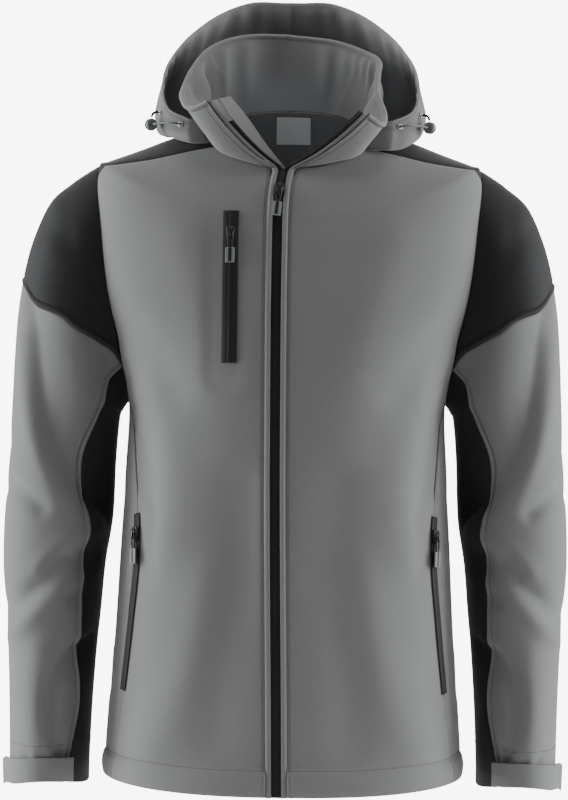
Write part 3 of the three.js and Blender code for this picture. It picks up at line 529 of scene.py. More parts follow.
def hood_surface(side):
    def surface(u, v):
        past = np.clip((u - HOOD_SHARE) / (1 - HOOD_SHARE), 0, 1)
        row = np.minimum(u / HOOD_SHARE, 1) * HOOD_ROWS
        point = hood_point(side, row, v)
        gap = side * HOOD_SEAM * (1 - u)
        crown = CROWN * hump(row - 2.5, 2.2) * (1 - smooth(v / 0.45)) * smooth(row / 1.2)
        hang = between(HOOD_HANG, "left" if side < 0 else "right", row) * smooth((v - 0.36) / 0.3)
        aside = gap + side * (crown * 0.6 - HOOD_END[side] * past)
        return point + stack(aside, 2.5 * past * past - HANG_FORWARD * hang, crown * 0.8 - hang)
    return surface


# Folds, placed one by one. Each is a line of points (across, up) in the view that it is seen in, its half
# width and its height, which is negative for a trough. A pair of widths is for a fold that is steeper on
# one side. "front" and "back" views show X and Z, "out" and
# "in" show Y and Z. On the right half of the jacket the front and back lines are mirrored.
SLEEVE_FOLDS = [
    ("front", [(-284, -170), (-274, -215), (-269, -255), (-262, -295), (-250, -330), (-234, -360),
               (-212, -392)], (12, 44), -11.0),
    ("front", [(-288, -225), (-282, -290), (-270, -345), (-248, -388)], 10, 2.5),
    ("front", [(-312, -372), (-288, -384), (-262, -404)], 9, -4.5),
    ("front", [(-213, -452), (-216, -476), (-226, -498)], 10, -6.0),
    ("front", [(-205, -425), (-236, -440), (-262, -470)], 11, 3.5),
    ("front", [(-300, -520), (-268, -492), (-238, -456)], 10, -5.0),
    ("front", [(-300, -548), (-268, -520), (-238, -492), (-214, -480)], 10, 3.5),
    ("front", [(-222, -552), (-244, -572), (-251, -600), (-252, -622), (-245, -650), (-238, -676)], (6, 30), -8.0),
    ("front", [(-232, -590), (-238, -620), (-232, -660)], 8, 2.5),
    ("front", [(-262, -560), (-268, -610), (-262, -660)], 16, 3.0),
    ("front", [(-274, -668), (-272, -674)], 5, -2.0),
    ("front", [(-258, -669), (-256, -675)], 6, -2.5),
    ("back", [(-296, -330), (-276, -352), (-246, -362), (-214, -352)], 9, -4.5),
    ("back", [(-300, -372), (-276, -388), (-244, -394), (-214, -380)], 8, -4.5),
    ("back", [(-300, -350), (-270, -370), (-232, -374)], 10, 3.0),
    ("back", [(-302, -412), (-272, -424), (-240, -424)], 8, -4.0),
    ("back", [(-296, -470), (-262, -500), (-226, -512)], 11, -4.0),
    ("back", [(-262, -150), (-268, -210), (-262, -270)], 16, -3.5),
    ("back", [(-240, -560), (-250, -610), (-246, -660)], 12, -3.5),
    ("out", [(-20, -330), (0, -356), (30, -360)], 9, -1.5),
    ("out", [(-24, -384), (6, -392), (34, -384)], 8, -1.5),
    ("out", [(-30, -520), (-6, -512), (14, -496)], 9, -1.0),
]
FRONT_FOLDS = [
    ("front", [(-150, -285), (-128, -330), (-118, -390), (-124, -450)], 24, 3.0),
    ("front", [(-168, -300), (-152, -350), (-148, -410)], 14, -3.0),
    ("front", [(-82, -470), (-92, -540), (-112, -600), (-140, -650)], 26, 3.5),
    ("front", [(-52, -380), (-50, -470), (-66, -560), (-70, -640)], 26, -3.0),
    ("front", [(-112, -120), (-90, -190), (-70, -260)], 30, 2.5),
    ("front", [(-165, -215), (-140, -240), (-120, -280)], 20, -2.5),
]
BACK_FOLDS = [
    ("back", [(-150, -250), (-120, -300), (-96, -370)], 20, -4.0),
    ("back", [(150, -250), (122, -306), (100, -366)], 20, -4.0),
    ("back", [(-130, -400), (-70, -428), (0, -432), (64, -424), (128, -404)], 13, -4.0),
    ("back", [(-120, -450), (-50, -470), (30, -476), (118, -456)], 14, -3.0),
    ("back", [(-90, -520), (-70, -600), (-60, -680)], 26, 3.5),
    ("back", [(84, -510), (92, -590), (74, -680)], 26, 3.5),
    ("back", [(0, -90), (4, -180), (-2, -290)], 26, -3.0),
    ("back", [(-112, -110), (-98, -180), (-104, -240)], 22, 2.5),
    ("back", [(110, -110), (100, -180), (108, -240)], 22, 2.5),
]
SIDE_FOLDS = [
    ("out", [(-10, -400), (0, -470), (4, -540)], 14, -2.5),
    ("out", [(0, -560), (-6, -620), (-2, -680)], 16, 2.0),
]
CAP_FOLDS = [
    ("front", [(-262, -96), (-236, -124), (-204, -140)], 14, -2.0),
    ("front", [(-210, -80), (-222, -130), (-214, -190)], 18, 2.5),
    ("back", [(-258, -98), (-232, -120), (-206, -150)], 14, -2.5),
]
VIEW_AXES = {"front": (0, 1, -1), "back": (0, 1, 1), "out": (1, 0, 1), "in": (1, 0, -1)}


def line_distance(points, line):
    """Distance of points in a plane from a broken line, and on which side of it they lie."""
    best = np.full(points.shape[:-1], 1e9)
    beyond = np.zeros(points.shape[:-1], bool)
    for a, b in zip(line[:-1], line[1:]):
        ab = b - a
        apart = points - a
        t = np.clip((apart @ ab) / max(ab @ ab, 1e-9), 0, 1)
        distance = np.linalg.norm(apart - t[..., None] * ab, axis=-1)
        nearer = distance < best
        best = np.where(nearer, distance, best)
        beyond = np.where(nearer, ab[0] * apart[..., 1] > ab[1] * apart[..., 0], beyond)
    return best, beyond


def rounded_line(points):
    """A broken line with its corners rounded off."""
    line = np.array(points, float)
    for _ in range(2):
        inner = np.stack([line[:-1] * 0.75 + line[1:] * 0.25, line[:-1] * 0.25 + line[1:] * 0.75], axis=1)
        line = np.vstack([line[:1], inner.reshape(-1, 2), line[-1:]])
    return line


def folds(points, normals, side, rows):
    """Height of the folds at points of a surface."""
    height = np.zeros(points.shape[:-1])
    for view, line, width, depth in rows:
        axis, facing, sign = VIEW_AXES[view]
        along = points[..., [axis, 2]].copy()
        toward = normals[..., facing] * sign
        if axis == 0:
            along[..., 0] *= -side
        else:
            toward = toward * side
        distance, beyond = line_distance(along, rounded_line(line))
        before, after = width if isinstance(width, tuple) else (width, width)
        height += depth * hump(distance, np.where(beyond, after, before)) * smooth((toward - 0.05) / 0.45)
    return height


CALM_WIDTH = 16.0


def calm(points, side):
    """Share of the folds that is kept near the zips, which lie flat on the body."""
    flat = points[..., [0, 2]]
    kept = smooth((np.abs(flat[..., 0] + 8) - 14) / CALM_WIDTH)
    lines = [np.array([(-66, -95), (-66, -262)])]
    for name in (-1, 1):
        steps = np.linspace(HAND_POCKET["end"], HAND_POCKET["top"], 6)
        turns = side_turn(True, steps)
        lines.append(body_point(name, steps, turns)[:, [0, 2]])
    front = points[..., 1] < 0
    for line in lines:
        kept = np.minimum(kept, np.where(front, smooth((line_distance(flat, line)[0] - 12) / CALM_WIDTH), 1))
    return np.where(front, kept, 1)


def grid_normals(points, centre):
    du = np.gradient(points, axis=1)
    dv = np.gradient(points, axis=0)
    normals = unit(np.cross(du, dv))
    i, j = points.shape[0] // 2, points.shape[1] // 2
    away = points[i, j] - np.array(centre, float)
    return normals if normals[i, j] @ away > 0 else -normals


EDGE_TICKS = [0, 0.35, 0.9, 1.8, 3.2, 5.2]


def ticks(length, cell, marks=()):
    """Values from 0 to 1 along a length, close together at both ends and at the marks."""
    spots = set(EDGE_TICKS) | {length - t for t in EDGE_TICKS}
    for mark in marks:
        spots |= {mark + d for d in (-3, -1.4, -0.7, 0, 0.7, 1.4, 3)}
    near = sorted(spots)
    count = max(int(length / cell), 4)
    for x in np.linspace(EDGE_TICKS[-1], length - EDGE_TICKS[-1], count):
        if min(abs(x - s) for s in near) > cell * 0.45:
            spots.add(float(x))
    return np.array(sorted(s for s in spots if 0 <= s <= length)) / length


def edge_distances(points):
    """Distances along the cloth from its four edges: u 0, u 1, v 0 and v 1."""
    du = np.linalg.norm(np.diff(points, axis=1), axis=-1)
    dv = np.linalg.norm(np.diff(points, axis=0), axis=-1)
    across = np.concatenate([np.zeros((points.shape[0], 1)), np.cumsum(du, axis=1)], axis=1)
    up = np.concatenate([np.zeros((1, points.shape[1])), np.cumsum(dv, axis=0)], axis=0)
    return across, across[:, -1:] - across, up, up[-1:] - up


def corner_drop(distance, radius):
    near = np.clip(radius - distance, 0, radius)
    return radius - np.sqrt(np.maximum(radius * radius - near * near, 0))


def link(name, vertices, faces, materials, indices=None, uvs=None):
    """A new mesh object; its vertices are in millimetres."""
    mesh = bpy.data.meshes.new(name)
    mesh.from_pydata((np.asarray(vertices, float) * MM).tolist(), [], faces)
    for material in materials:
        mesh.materials.append(material)
    if indices is not None:
        mesh.polygons.foreach_set("material_index", np.asarray(indices, np.int32))
    if uvs is not None:
        layer = mesh.uv_layers.new(name="cloth")
        loops = np.empty(len(mesh.loops), np.int32)
        mesh.loops.foreach_get("vertex_index", loops)
        layer.data.foreach_set("uv", np.asarray(uvs, np.float32)[loops].ravel())
    mesh.polygons.foreach_set("use_smooth", np.ones(len(mesh.polygons), bool))
    mesh.update()
    return show(name, mesh)


def show(name, data):
    obj = bpy.data.objects.new(name, data)
    bpy.context.scene.collection.objects.link(obj)
    return obj


def solid(name, vertices, faces, materials, indices=None):
    """A closed mesh object with its faces turned to point out."""
    obj = link(name, vertices, faces, materials, indices)
    mesh = bmesh.new()
    mesh.from_mesh(obj.data)
    bmesh.ops.recalc_face_normals(mesh, faces=mesh.faces)
    mesh.to_mesh(obj.data)
    mesh.free()
    return obj


def grid_quads(rows, columns, start=0):
    ids = np.arange(rows * columns).reshape(rows, columns) + start
    return np.stack([ids[:-1, :-1], ids[:-1, 1:], ids[1:, 1:], ids[1:, :-1]], axis=-1).reshape(-1, 4)


def wall_mesh(name, outer, inner, materials, fade=None, inner_rims=()):
    """Closed wall between two grids. Materials are those of the outer side, the inner side and the rim."""
    rows, columns = outer.shape[:2]
    shift = rows * columns
    ids = np.arange(shift).reshape(rows, columns)
    front = grid_quads(rows, columns)
    rear = (front + shift)[:, ::-1]
    strips = []
    rim_kinds = []
    borders = {"v0": (ids[0], True), "v1": (ids[-1], False),
               "u0": (ids[:, 0], False), "u1": (ids[:, -1], True)}
    for border, (line, turned) in borders.items():
        a, b = (line[1:], line[:-1]) if turned else (line[:-1], line[1:])
        strips.append(np.stack([a, b, b + shift, a + shift], axis=-1))
        rim_kinds += [1 if border in inner_rims else 2] * len(a)
    rim = np.concatenate(strips)
    faces = np.concatenate([front, rear, rim])
    points = np.concatenate([outer.reshape(-1, 3), inner.reshape(-1, 3)])
    a, b, c, d = (points[faces[:, k]] for k in range(4))
    volume = np.sum(a * np.cross(b, c)) + np.sum(a * np.cross(c, d))
    if volume < 0:
        faces = faces[:, ::-1]
    kinds = np.concatenate([np.zeros(len(front)), np.ones(len(rear)), rim_kinds]).astype(np.int32)
    across, _, up, _ = edge_distances(outer)
    middle = across - across[:, -1:] / 2
    uv = np.stack([middle, up], axis=-1).reshape(-1, 2) * MM
    obj = link(name, points, faces.tolist(), materials, kinds, np.concatenate([uv, uv]))
    if fade is not None:
        layer = obj.data.attributes.new("fade", "FLOAT", "POINT")
        layer.data.foreach_set("value", np.concatenate([fade.ravel(), fade.ravel()]).astype(np.float32))
    obj.data.update()
    return obj


TREES = {}
CUTS = {}


def cloth(name, surface, us, vs, centre, materials, side=1, thick=CLOTH, rows=(), edges="ssss", extra=None,
          lift=0.0, dip=0.9, dip_width=3.0, fade=None, inner_extra=None, quiet=None, inner_rims=()):
    """A panel on a surface. edges says for u 0, u 1, v 0 and v 1: s a seam, a one that lies close to the
    next panel, h a turned hem, p plain."""
    u, v = np.meshgrid(us, vs)
    points = surface(u, v)
    normals = grid_normals(points, centre)
    height = folds(points, normals, side, rows)
    if quiet is not None:
        height = height * quiet(points, side)
    height = height + lift
    if extra is not None:
        height = height + extra(u, v, points)
    top = np.zeros(points.shape[:-1])
    base = np.full(points.shape[:-1], -thick)
    for kind, distance in zip(edges, edge_distances(points)):
        if kind == "s":
            top -= dip * hump(distance, dip_width) + corner_drop(distance, 0.8)
        elif kind == "a":
            top -= 0.3 * hump(distance, 1.5) + corner_drop(distance, 0.4)
        elif kind == "h":
            top -= corner_drop(distance, thick * 0.45)
            base += corner_drop(distance, thick * 0.45)
    if inner_extra is not None:
        base = base + inner_extra(u, v, points)
    top = np.maximum(top, base + 0.15)
    outer = points + normals * (height + top)[..., None]
    inner = points + normals * (height + base)[..., None]
    obj = wall_mesh(name, outer, inner, materials, None if fade is None else fade(u, v), inner_rims)
    quads = grid_quads(*outer.shape[:2])
    TREES[name] = BVHTree.FromPolygons(outer.reshape(-1, 3).tolist(), quads.tolist())
    across, _, up, _ = edge_distances(outer)
    a, b, c, d = (outer.reshape(-1, 3)[quads[:, k]] for k in range(4))
    area = np.linalg.norm(np.cross(c - a, d - b), axis=-1).sum() / 2
    CUTS[name] = (float(across[:, -1].max()) * MM, float(up[-1].max()) * MM, float(area) * MM * MM)
    return obj


# Materials
def material_of(name):
    material = bpy.data.materials.new(name)
    material.use_nodes = True
    return material, material.node_tree, material.node_tree.nodes["Principled BSDF"]


def feed(tree, node, inputs):
    """Sets a node's inputs, each to a value or to another node's output."""
    for name, value in inputs.items():
        if isinstance(value, bpy.types.NodeSocket):
            tree.links.new(value, node.inputs[name])
        else:
            node.inputs[name].default_value = value


def add_node(tree, kind, inputs):
    node = tree.nodes.new("ShaderNode" + kind)
    feed(tree, node, inputs)
    return node


def maths(tree, operation, *values):
    node = add_node(tree, "Math", dict(enumerate(values)))
    node.operation = operation
    return node.outputs[0]


def noise(tree, at_object, scale, detail):
    return add_node(tree, "TexNoise", {"Scale": scale, "Detail": detail, "Vector": at_object}).outputs["Fac"]


def ramp(tree, share, dark, light, start=0.0, end=1.0):
    node = add_node(tree, "ValToRGB", {"Fac": share})
    for element, colour, at in zip(node.color_ramp.elements, (dark, light), (start, end)):
        element.color = (*colour, 1)
        element.position = at
    return node.outputs["Color"]


def bump(tree, height, strength, distance, **normal):
    inputs = {"Strength": strength, "Distance": distance, "Height": height, **normal}
    return add_node(tree, "Bump", inputs).outputs["Normal"]


def faded(tree, colour, other):
    """A colour that turns into another one by the share kept in the mesh."""
    share = add_node(tree, "Attribute", {})
    share.attribute_name = "fade"
    mix = tree.nodes.new("ShaderNodeMix")
    mix.data_type = "RGBA"
    feed(tree, mix, {"B": (*other, 1), "Factor": share.outputs["Fac"], "A": colour})
    return mix.outputs["Result"]


RIB_TURN = 0.9
PATCH_SCALE = 9.0
PATCH_SHARE = 0.45
WEAR = 0.08
GLOSS_RANGE = 0.07


def woven(tree, where, fine, depth):
    """Height of two crossing sets of ribs over the fine grain."""
    ribs = []
    for direction, turn in (("X", RIB_TURN), ("Y", -RIB_TURN)):
        turned = add_node(tree, "Mapping", {"Rotation": (0, 0, turn), "Vector": where.outputs["UV"]})
        wave = add_node(tree, "TexWave", {"Scale": 300, "Distortion": 0.6, "Vector": turned.outputs["Vector"]})
        wave.bands_direction = direction
        ribs.append(wave.outputs["Fac"])
    return maths(tree, "MULTIPLY_ADD", maths(tree, "MULTIPLY", *ribs), depth, fine)


def fabric(name, dark, light, rough, weave, grain, sheen, fuzz=0.0, fade_to=None):
    """Cloth with a fine weave, a grain, and slow shade differences over the panel."""
    material, tree, shader = material_of(name)
    where = add_node(tree, "TexCoord", {})
    at_object = where.outputs["Object"]
    fine = noise(tree, at_object, 520, 3)
    slow = maths(tree, "MULTIPLY", noise(tree, at_object, PATCH_SCALE, 4), PATCH_SHARE)
    colour = ramp(tree, maths(tree, "MULTIPLY_ADD", fine, 1 - PATCH_SHARE, slow), dark, light, 0.3, 0.7)
    if fade_to is not None:
        colour = faded(tree, colour, fade_to)
    normal = bump(tree, woven(tree, where, fine, weave) if weave > 0 else fine, grain, 0.0004)
    if fuzz > 0:
        curl = add_node(tree, "TexVoronoi", {"Scale": 330, "Vector": at_object})
        normal = bump(tree, curl.outputs["Distance"], fuzz, 0.0012, Normal=normal)
    feed(tree, shader, {"Base Color": colour, "Roughness": rough, "Specular IOR Level": 0.3, "Sheen Weight": sheen,
                        "Sheen Roughness": 0.45, "Normal": normal})
    return material


def hard(name, colour, rough, metal=0.0, relief=0.05, coat=0.0):
    """Moulded plastic or metal with small differences of colour and gloss."""
    material, tree, shader = material_of(name)
    spots = noise(tree, add_node(tree, "TexCoord", {}).outputs["Object"], 400, 4)
    light = [min(c * (1 + WEAR), 1) for c in colour]
    shade = ramp(tree, spots, [c * (1 - WEAR) for c in colour], light)
    gloss = add_node(tree, "MapRange", {"To Min": rough - GLOSS_RANGE, "To Max": rough + GLOSS_RANGE, "Value": spots})
    feed(tree, shader, {"Base Color": shade, "Roughness": gloss.outputs["Result"], "Metallic": metal,
                        "Coat Weight": coat, "Normal": bump(tree, spots, relief, 0.0002)})
    return material


SHELL_GREY = fabric("shell_grey", (0.185, 0.187, 0.184), (0.215, 0.217, 0.213), 0.78, 0.5, 0.22, 0.35)
SHELL_BLACK = fabric("shell_black", (0.0125, 0.0128, 0.0135), (0.017, 0.0173, 0.018), 0.7, 0.5, 0.22, 0.16)
# Fleece lining: a dark cloth, coloured lighter than the grey shell as painted light for the shaded inside of the
# jacket.
FLEECE_PAINTED_LIGHT = fabric("fleece", (0.21, 0.216, 0.228), (0.265, 0.272, 0.285), 0.95, 0, 0.3, 0.3, fuzz=0.5)
# Hood facing: the shell's own cloth, coloured much lighter as painted light for the shaded inside of the hood; the
# colour it turns into past the facing is lightened the same way.
HOOD_FACING_PAINTED_LIGHT = fabric("hood_facing_painted_light", (0.36, 0.362, 0.358), (0.40, 0.402, 0.398), 0.82, 0.5, 0.22, 0.3,
                     fade_to=(0.26, 0.265, 0.275))
# Collar facing: the shell's grey, turned by the fade into the fleece's lightened colour, which is painted light for
# the shaded inside of the collar.
FACING = fabric("facing", (0.185, 0.187, 0.184), (0.215, 0.217, 0.213), 0.82, 0.5, 0.22, 0.3,
                fade_to=(0.225, 0.23, 0.242))
TAPE = fabric("zip_tape", (0.008, 0.008, 0.009), (0.014, 0.014, 0.015), 0.6, 0.8, 0.3, 0.1)
THREAD = fabric("thread_grey", (0.045, 0.045, 0.045), (0.07, 0.07, 0.07), 0.6, 0, 0.1, 0.1)
THREAD_BLACK = fabric("thread_black", (0.012, 0.012, 0.013), (0.02, 0.02, 0.021), 0.55, 0, 0.1, 0.1)
SATIN = fabric("label_satin", (0.88, 0.89, 0.91), (0.93, 0.94, 0.96), 0.45, 0.6, 0.2, 0.3)
LACQUER = hard("slider", (0.012, 0.012, 0.013), 0.32, coat=0.3)
GRIP = hard("pull_grip", (0.20, 0.21, 0.215), 0.42)
STEEL = hard("eyelet", (0.62, 0.63, 0.65), 0.28, metal=1.0, relief=0.1)
ELASTIC = fabric("cord", (0.14, 0.145, 0.15), (0.22, 0.225, 0.23), 0.7, 0.8, 0.3, 0.2)
STOPPER = hard("toggle", (0.05, 0.05, 0.053), 0.45)

GREY_WALL = [SHELL_GREY, FLEECE_PAINTED_LIGHT, SHELL_GREY]
BLACK_WALL = [SHELL_BLACK, FLEECE_PAINTED_LIGHT, SHELL_BLACK]
BODY_CENTRE = (0, -10, -260)
SIDE_CENTRE = (0, 0, -500)

# Camera: level, at the photo's distance, turned a little because the garment hangs a little off plumb
CAMERA_DISTANCE = 2.4
CAMERA_X = -0.0033
CAMERA_Z = -0.286
CAMERA_LENS = 98.2
CAMERA_ROLL = -0.7


def add_camera():
    data = bpy.data.cameras.new("camera")
    data.lens = CAMERA_LENS
    data.sensor_width = 36
    camera = show("camera", data)
    camera.location = (CAMERA_X, -CAMERA_DISTANCE, CAMERA_Z)
    camera.rotation_euler = (math.radians(90), math.radians(CAMERA_ROLL), 0)
    bpy.context.scene.camera = camera


# Hood drawcords, their stoppers and straps; points of the right side, in millimetres
CORD_DIAMETER = 2.4
HOOD_CORD = [
    (117.9, -56.5, 8.9), (119.4, -59.6, 8.9), (122.6, -62.6, 9.2), (127.5, -62.6, 9.6), (134, -58.5, 10),
    (141, -51.5, 10.2), (147.5, -43, 10.3), (153, -34.5, 10.4), (157.5, -27.5, 10.4),
]
TOGGLE = [(148.9, -40.9, 10.3), (153.5, -33.7, 10.4)]
TOGGLE_RADIUS = 6.6
TETHER = [(143.2, -33.8, 24.7), (146.3, -35.4, 24.2), (149.2, -37.6, 22), (150.3, -38.9, 18.4)]
TETHER_WIDTH = 2.6
TETHER_CLOTH = 1.0
HOOD_EYELETS = {"front": (7.72, 0.3), "side": (6.55, 0.2)}


def rounded_route(points, side, steps=12):
    """Points along a smooth curve through the route's points."""
    knots = np.array(points, float) * np.array([side, 1, 1])
    distance = np.concatenate([[0], np.cumsum(np.linalg.norm(np.diff(knots, axis=0), axis=1) ** 0.5)])
    rows = {"t": distance, "x": knots[:, 0], "y": knots[:, 1], "z": knots[:, 2]}
    at = np.interp(np.linspace(0, len(knots) - 1, (len(knots) - 1) * steps + 1), range(len(knots)), distance)
    return stack(*(between(rows, axis, at) for axis in "xyz"))


def frames_along(path):
    """Tangents and two sideways directions along a path, turned as little as possible."""
    tangents = unit(np.gradient(path, axis=0))
    aside = np.cross(tangents[0], (0, 0, 1))
    if np.linalg.norm(aside) < 0.1:
        aside = np.cross(tangents[0], (0, 1, 0))
    sides = []
    for tangent in tangents:
        aside = aside - tangent * (aside @ tangent)
        aside = aside / np.linalg.norm(aside)
        sides.append(aside)
    sides = np.array(sides)
    return tangents, sides, np.cross(tangents, sides)


def tube_parts(path, section):
    """Points and faces of a section, given as (aside, up) points, carried along a path. There may be one
    section for each point of the path."""
    _, aside, up = frames_along(path)
    section = np.broadcast_to(section, (len(path), *np.shape(section)[-2:]))
    rings = path[:, None] + aside[:, None] * section[..., :1] + up[:, None] * section[..., 1:]
    ids = np.arange(rings.shape[0] * rings.shape[1]).reshape(rings.shape[:2])
    around = np.roll(ids, -1, axis=1)
    quads = np.stack([ids[:-1], around[:-1], around[1:], ids[1:]], axis=-1).reshape(-1, 4).tolist()
    return rings.reshape(-1, 3), quads + [ids[0][::-1].tolist(), ids[-1].tolist()]


def circle(radius, sides):
    angles = np.arange(sides) * 2 * np.pi / sides
    return np.stack([np.cos(angles), np.sin(angles)], axis=-1) * radius


def length_of(path):
    return float(np.linalg.norm(np.diff(path, axis=0), axis=1).sum())


def lathe(name, profile, start, axis, materials, sides=32, indices=None):
    """Closed ring or knob: a profile of (radius, height) points turned about an axis."""
    axis = unit(np.asarray(axis, float))
    aside = np.cross(axis, (0, 0, 1))
    if np.linalg.norm(aside) < 0.1:
        aside = np.cross(axis, (0, 1, 0))
    aside = unit(aside)
    up = np.cross(axis, aside)
    angles = np.arange(sides) * 2 * np.pi / sides
    spoke = np.cos(angles)[:, None] * aside + np.sin(angles)[:, None] * up
    profile = np.asarray(profile, float)
    points = (np.asarray(start, float) + profile[:, None, 1:] * axis + profile[:, None, :1] * spoke)
    count = len(profile)
    ids = np.arange(count * sides).reshape(count, sides)
    after = np.roll(ids, -1, axis=0)
    quads = np.stack([ids, np.roll(ids, -1, axis=1), np.roll(after, -1, axis=1), after], axis=-1)
    kinds = np.repeat(indices if indices else [0] * count, sides)
    return solid(name, points.reshape(-1, 3), quads.reshape(-1, 4).tolist(), materials, kinds)


def smooth_angle(obj, degrees=40):
    obj.data.set_sharp_from_angle(angle=math.radians(degrees))


SMALLEST_CUT = 0.011


def place(obj, node, body="root"):
    """Rides a piece on a body, in the place of a solid where it stands for one."""
    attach(obj, body)
    if node:
        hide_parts(node)


def place_sheet(obj, node):
    place(obj, node)
    wide, long, area = CUTS[obj.name]
    flat = (max(wide, SMALLEST_CUT), max(long, SMALLEST_CUT)) if node else (wide, long)
    min(area, flat[0] * flat[1])


def hood_frame(side, row, v):
    e = 0.02
    along = unit(hood_point(side, row + e, v) - hood_point(side, row - e, v))
    down = unit(hood_point(side, row, v + e) - hood_point(side, row, v - e))
    out = unit(np.cross(along, down))
    return hood_point(side, row, v), out if out[0] * side > 0 else -out


def add_cords():
    for name, side in SIDES.items():
        route = rounded_route(HOOD_CORD, side)
        braid = 1 + 0.06 * np.sin(np.linspace(0, length_of(route) / 0.9 * np.pi, len(route)))
        section = circle(CORD_DIAMETER / 2, 12)[None] * braid[:, None, None]
        cord = solid(f"elastic_{name}", *tube_parts(route, section), [ELASTIC])
        place(cord, f"hood_cord_{name}")
        ends = [np.array(p, float) * (side, 1, 1) for p in TOGGLE]
        axis = ends[1] - ends[0]
        length = float(np.linalg.norm(axis))
        r = TOGGLE_RADIUS
        hole = CORD_DIAMETER / 2 + 0.35
        band = length * 0.42
        profile = [(hole, 0.3), (hole + 0.5, 0), (r - 1.6, 0), (r - 0.5, 0.5), (r, 1.4), (r, band - 0.5),
                   (r - 0.5, band), (r - 0.5, band + 1.4), (r, band + 1.9), (r - 0.3, length - 2.2),
                   (r - 1.2, length - 0.7), (r - 2.6, length), (hole + 0.5, length), (hole, length - 0.3)]
        kinds = [0] * 5 + [1] * 3 + [0] * 6
        barrel = lathe(f"stopper_{name}", profile, ends[0], axis, [GRIP, STOPPER], 36, kinds)
        smooth_angle(barrel)
        place(barrel, f"toggle_{name}")
        length_of(route) * MM
        strap_path = rounded_route(TETHER, side, 8)
        w, t = TETHER_WIDTH / 2, TETHER_CLOTH / 2
        strap_section = [(-t, -w + 0.2), (-t + 0.2, -w), (t - 0.2, -w), (t, -w + 0.2),
                         (t, w - 0.2), (t - 0.2, w), (-t + 0.2, w), (-t, w - 0.2)]
        strap = solid(f"strap_{name}", *tube_parts(strap_path, strap_section), [TAPE])
        place(strap, f"tether_{name}")


add_camera()
add_cords()


# Shape that is worked out, not placed: hem band, stitch grooves and padded seams
HEM_STEP = 0.09
HEM_BULGE = 3.2


def body_relief(u, v, points):
    step = np.interp(points[..., 2], [-700, -664], [0, 0.1])
    band = np.clip((HEM_STEP - step) / HEM_STEP, 0, 1)
    return HEM_BULGE * np.sin(np.pi * band) ** 0.8 * (band > 0) - 0.9 * hump(step - HEM_STEP, 0.007)


CELL = 4.2
FINE_CELL = 2.2


def add_body():
    for name, side in SIDES.items():
        us = ticks(185, CELL, marks=[3.5])
        vs = ticks(760, CELL, marks=[28])
        obj = cloth(f"front_panel_{name}", front_surface(side), us, vs, BODY_CENTRE, GREY_WALL, side,
                    rows=FRONT_FOLDS, edges="sshs", extra=body_relief, quiet=calm,
                    inner_rims=("v1",), dip=0.5, dip_width=2.5)
        place_sheet(obj, f"front_{name}")
        vs = ticks(400, CELL, marks=[28])
        obj = cloth(f"side_panel_{name}", side_surface(side), ticks(120, CELL), vs, SIDE_CENTRE, GREY_WALL, side,
                    rows=SIDE_FOLDS, edges="sshs", extra=body_relief, quiet=calm, dip=0.5, dip_width=2.5)
        place_sheet(obj, f"side_{name}")
        obj = cloth(f"shoulder_{name}", yoke_surface(side), ticks(110, 3), ticks(130, 3), BODY_CENTRE,
                    BLACK_WALL, side, edges="ssas", inner_rims=("v1",))
        place_sheet(obj, f"yoke_{name}")
    vs = ticks(760, CELL, marks=[28])
    obj = cloth("back_panel", back_surface, ticks(390, CELL), vs, BODY_CENTRE, GREY_WALL, -1, rows=BACK_FOLDS,
                edges="sshs", extra=body_relief, inner_rims=("v1",), dip=0.5, dip_width=2.5)
    place_sheet(obj, "back")


CUFF_LINE = 659


def sleeve_relief(u, v, points):
    return -0.9 * hump(points[..., 2] + CUFF_LINE, 1.5)


PIPING = 1.7
GROOVE = 2.2
CAP_RIDGE = 1.2


def cap_relief(u, v, points):
    """The black panel's turned lower edge."""
    low = edge_distances(points)[3]
    return CAP_RIDGE * hump(low - 4.0, 3.0) - 0.8 * hump(low - 8.0, 1.6)


def seam_relief(u, v, points):
    """The grey panel's turned edge beside the black one shows as a soft ridge."""
    first, last, _, _ = edge_distances(points)
    near = np.minimum(first, last)
    ridge = PIPING * hump(near - 3.2, 2.4) - GROOVE * hump(near - 6.6, 1.3)
    return sleeve_relief(u, v, points) + ridge * smooth((-points[..., 2] - 215) / 40)


def add_sleeves():
    for name, side in SIDES.items():
        centre = (side * 245, 0, -300)
        vs = ticks(150, CELL, marks=[142, 146])
        obj = cloth(f"sleeve_top_{name}", cap_surface(side), ticks(330, CELL), vs, (side * 200, 0, -150),
                    BLACK_WALL, side, rows=CAP_FOLDS, edges="ssas", dip=1.0, dip_width=2.0, extra=cap_relief)
        place_sheet(obj, f"cap_{name}")
        us = ticks(300, CELL, marks=[6.5, 9, 291, 293.5])
        obj = cloth(f"sleeve_main_{name}", sleeve_surface(side), us, ticks(600, CELL), centre, GREY_WALL, side,
                    rows=SLEEVE_FOLDS, edges="ssah", dip=1.0, dip_width=2.0, extra=seam_relief)
        place_sheet(obj, f"sleeve_{name}")
        obj = cloth(f"sleeve_under_{name}", under_surface(side), ticks(100, CELL), ticks(560, CELL), centre,
                    BLACK_WALL, side, rows=SLEEVE_FOLDS, edges="ssah", extra=sleeve_relief)
        place_sheet(obj, f"under_sleeve_{name}")


TAB_START = 132.0
TAB_END = -14.0
TAB_TOP = 14.0
TAB_LOW = 14.96
TAB_CLOTH = 2.2
TAB_LIFT = 1.0
TAB_FLARE = 9.0
TAB_DROOP = 8.0
TAB_FLAT = 0.75


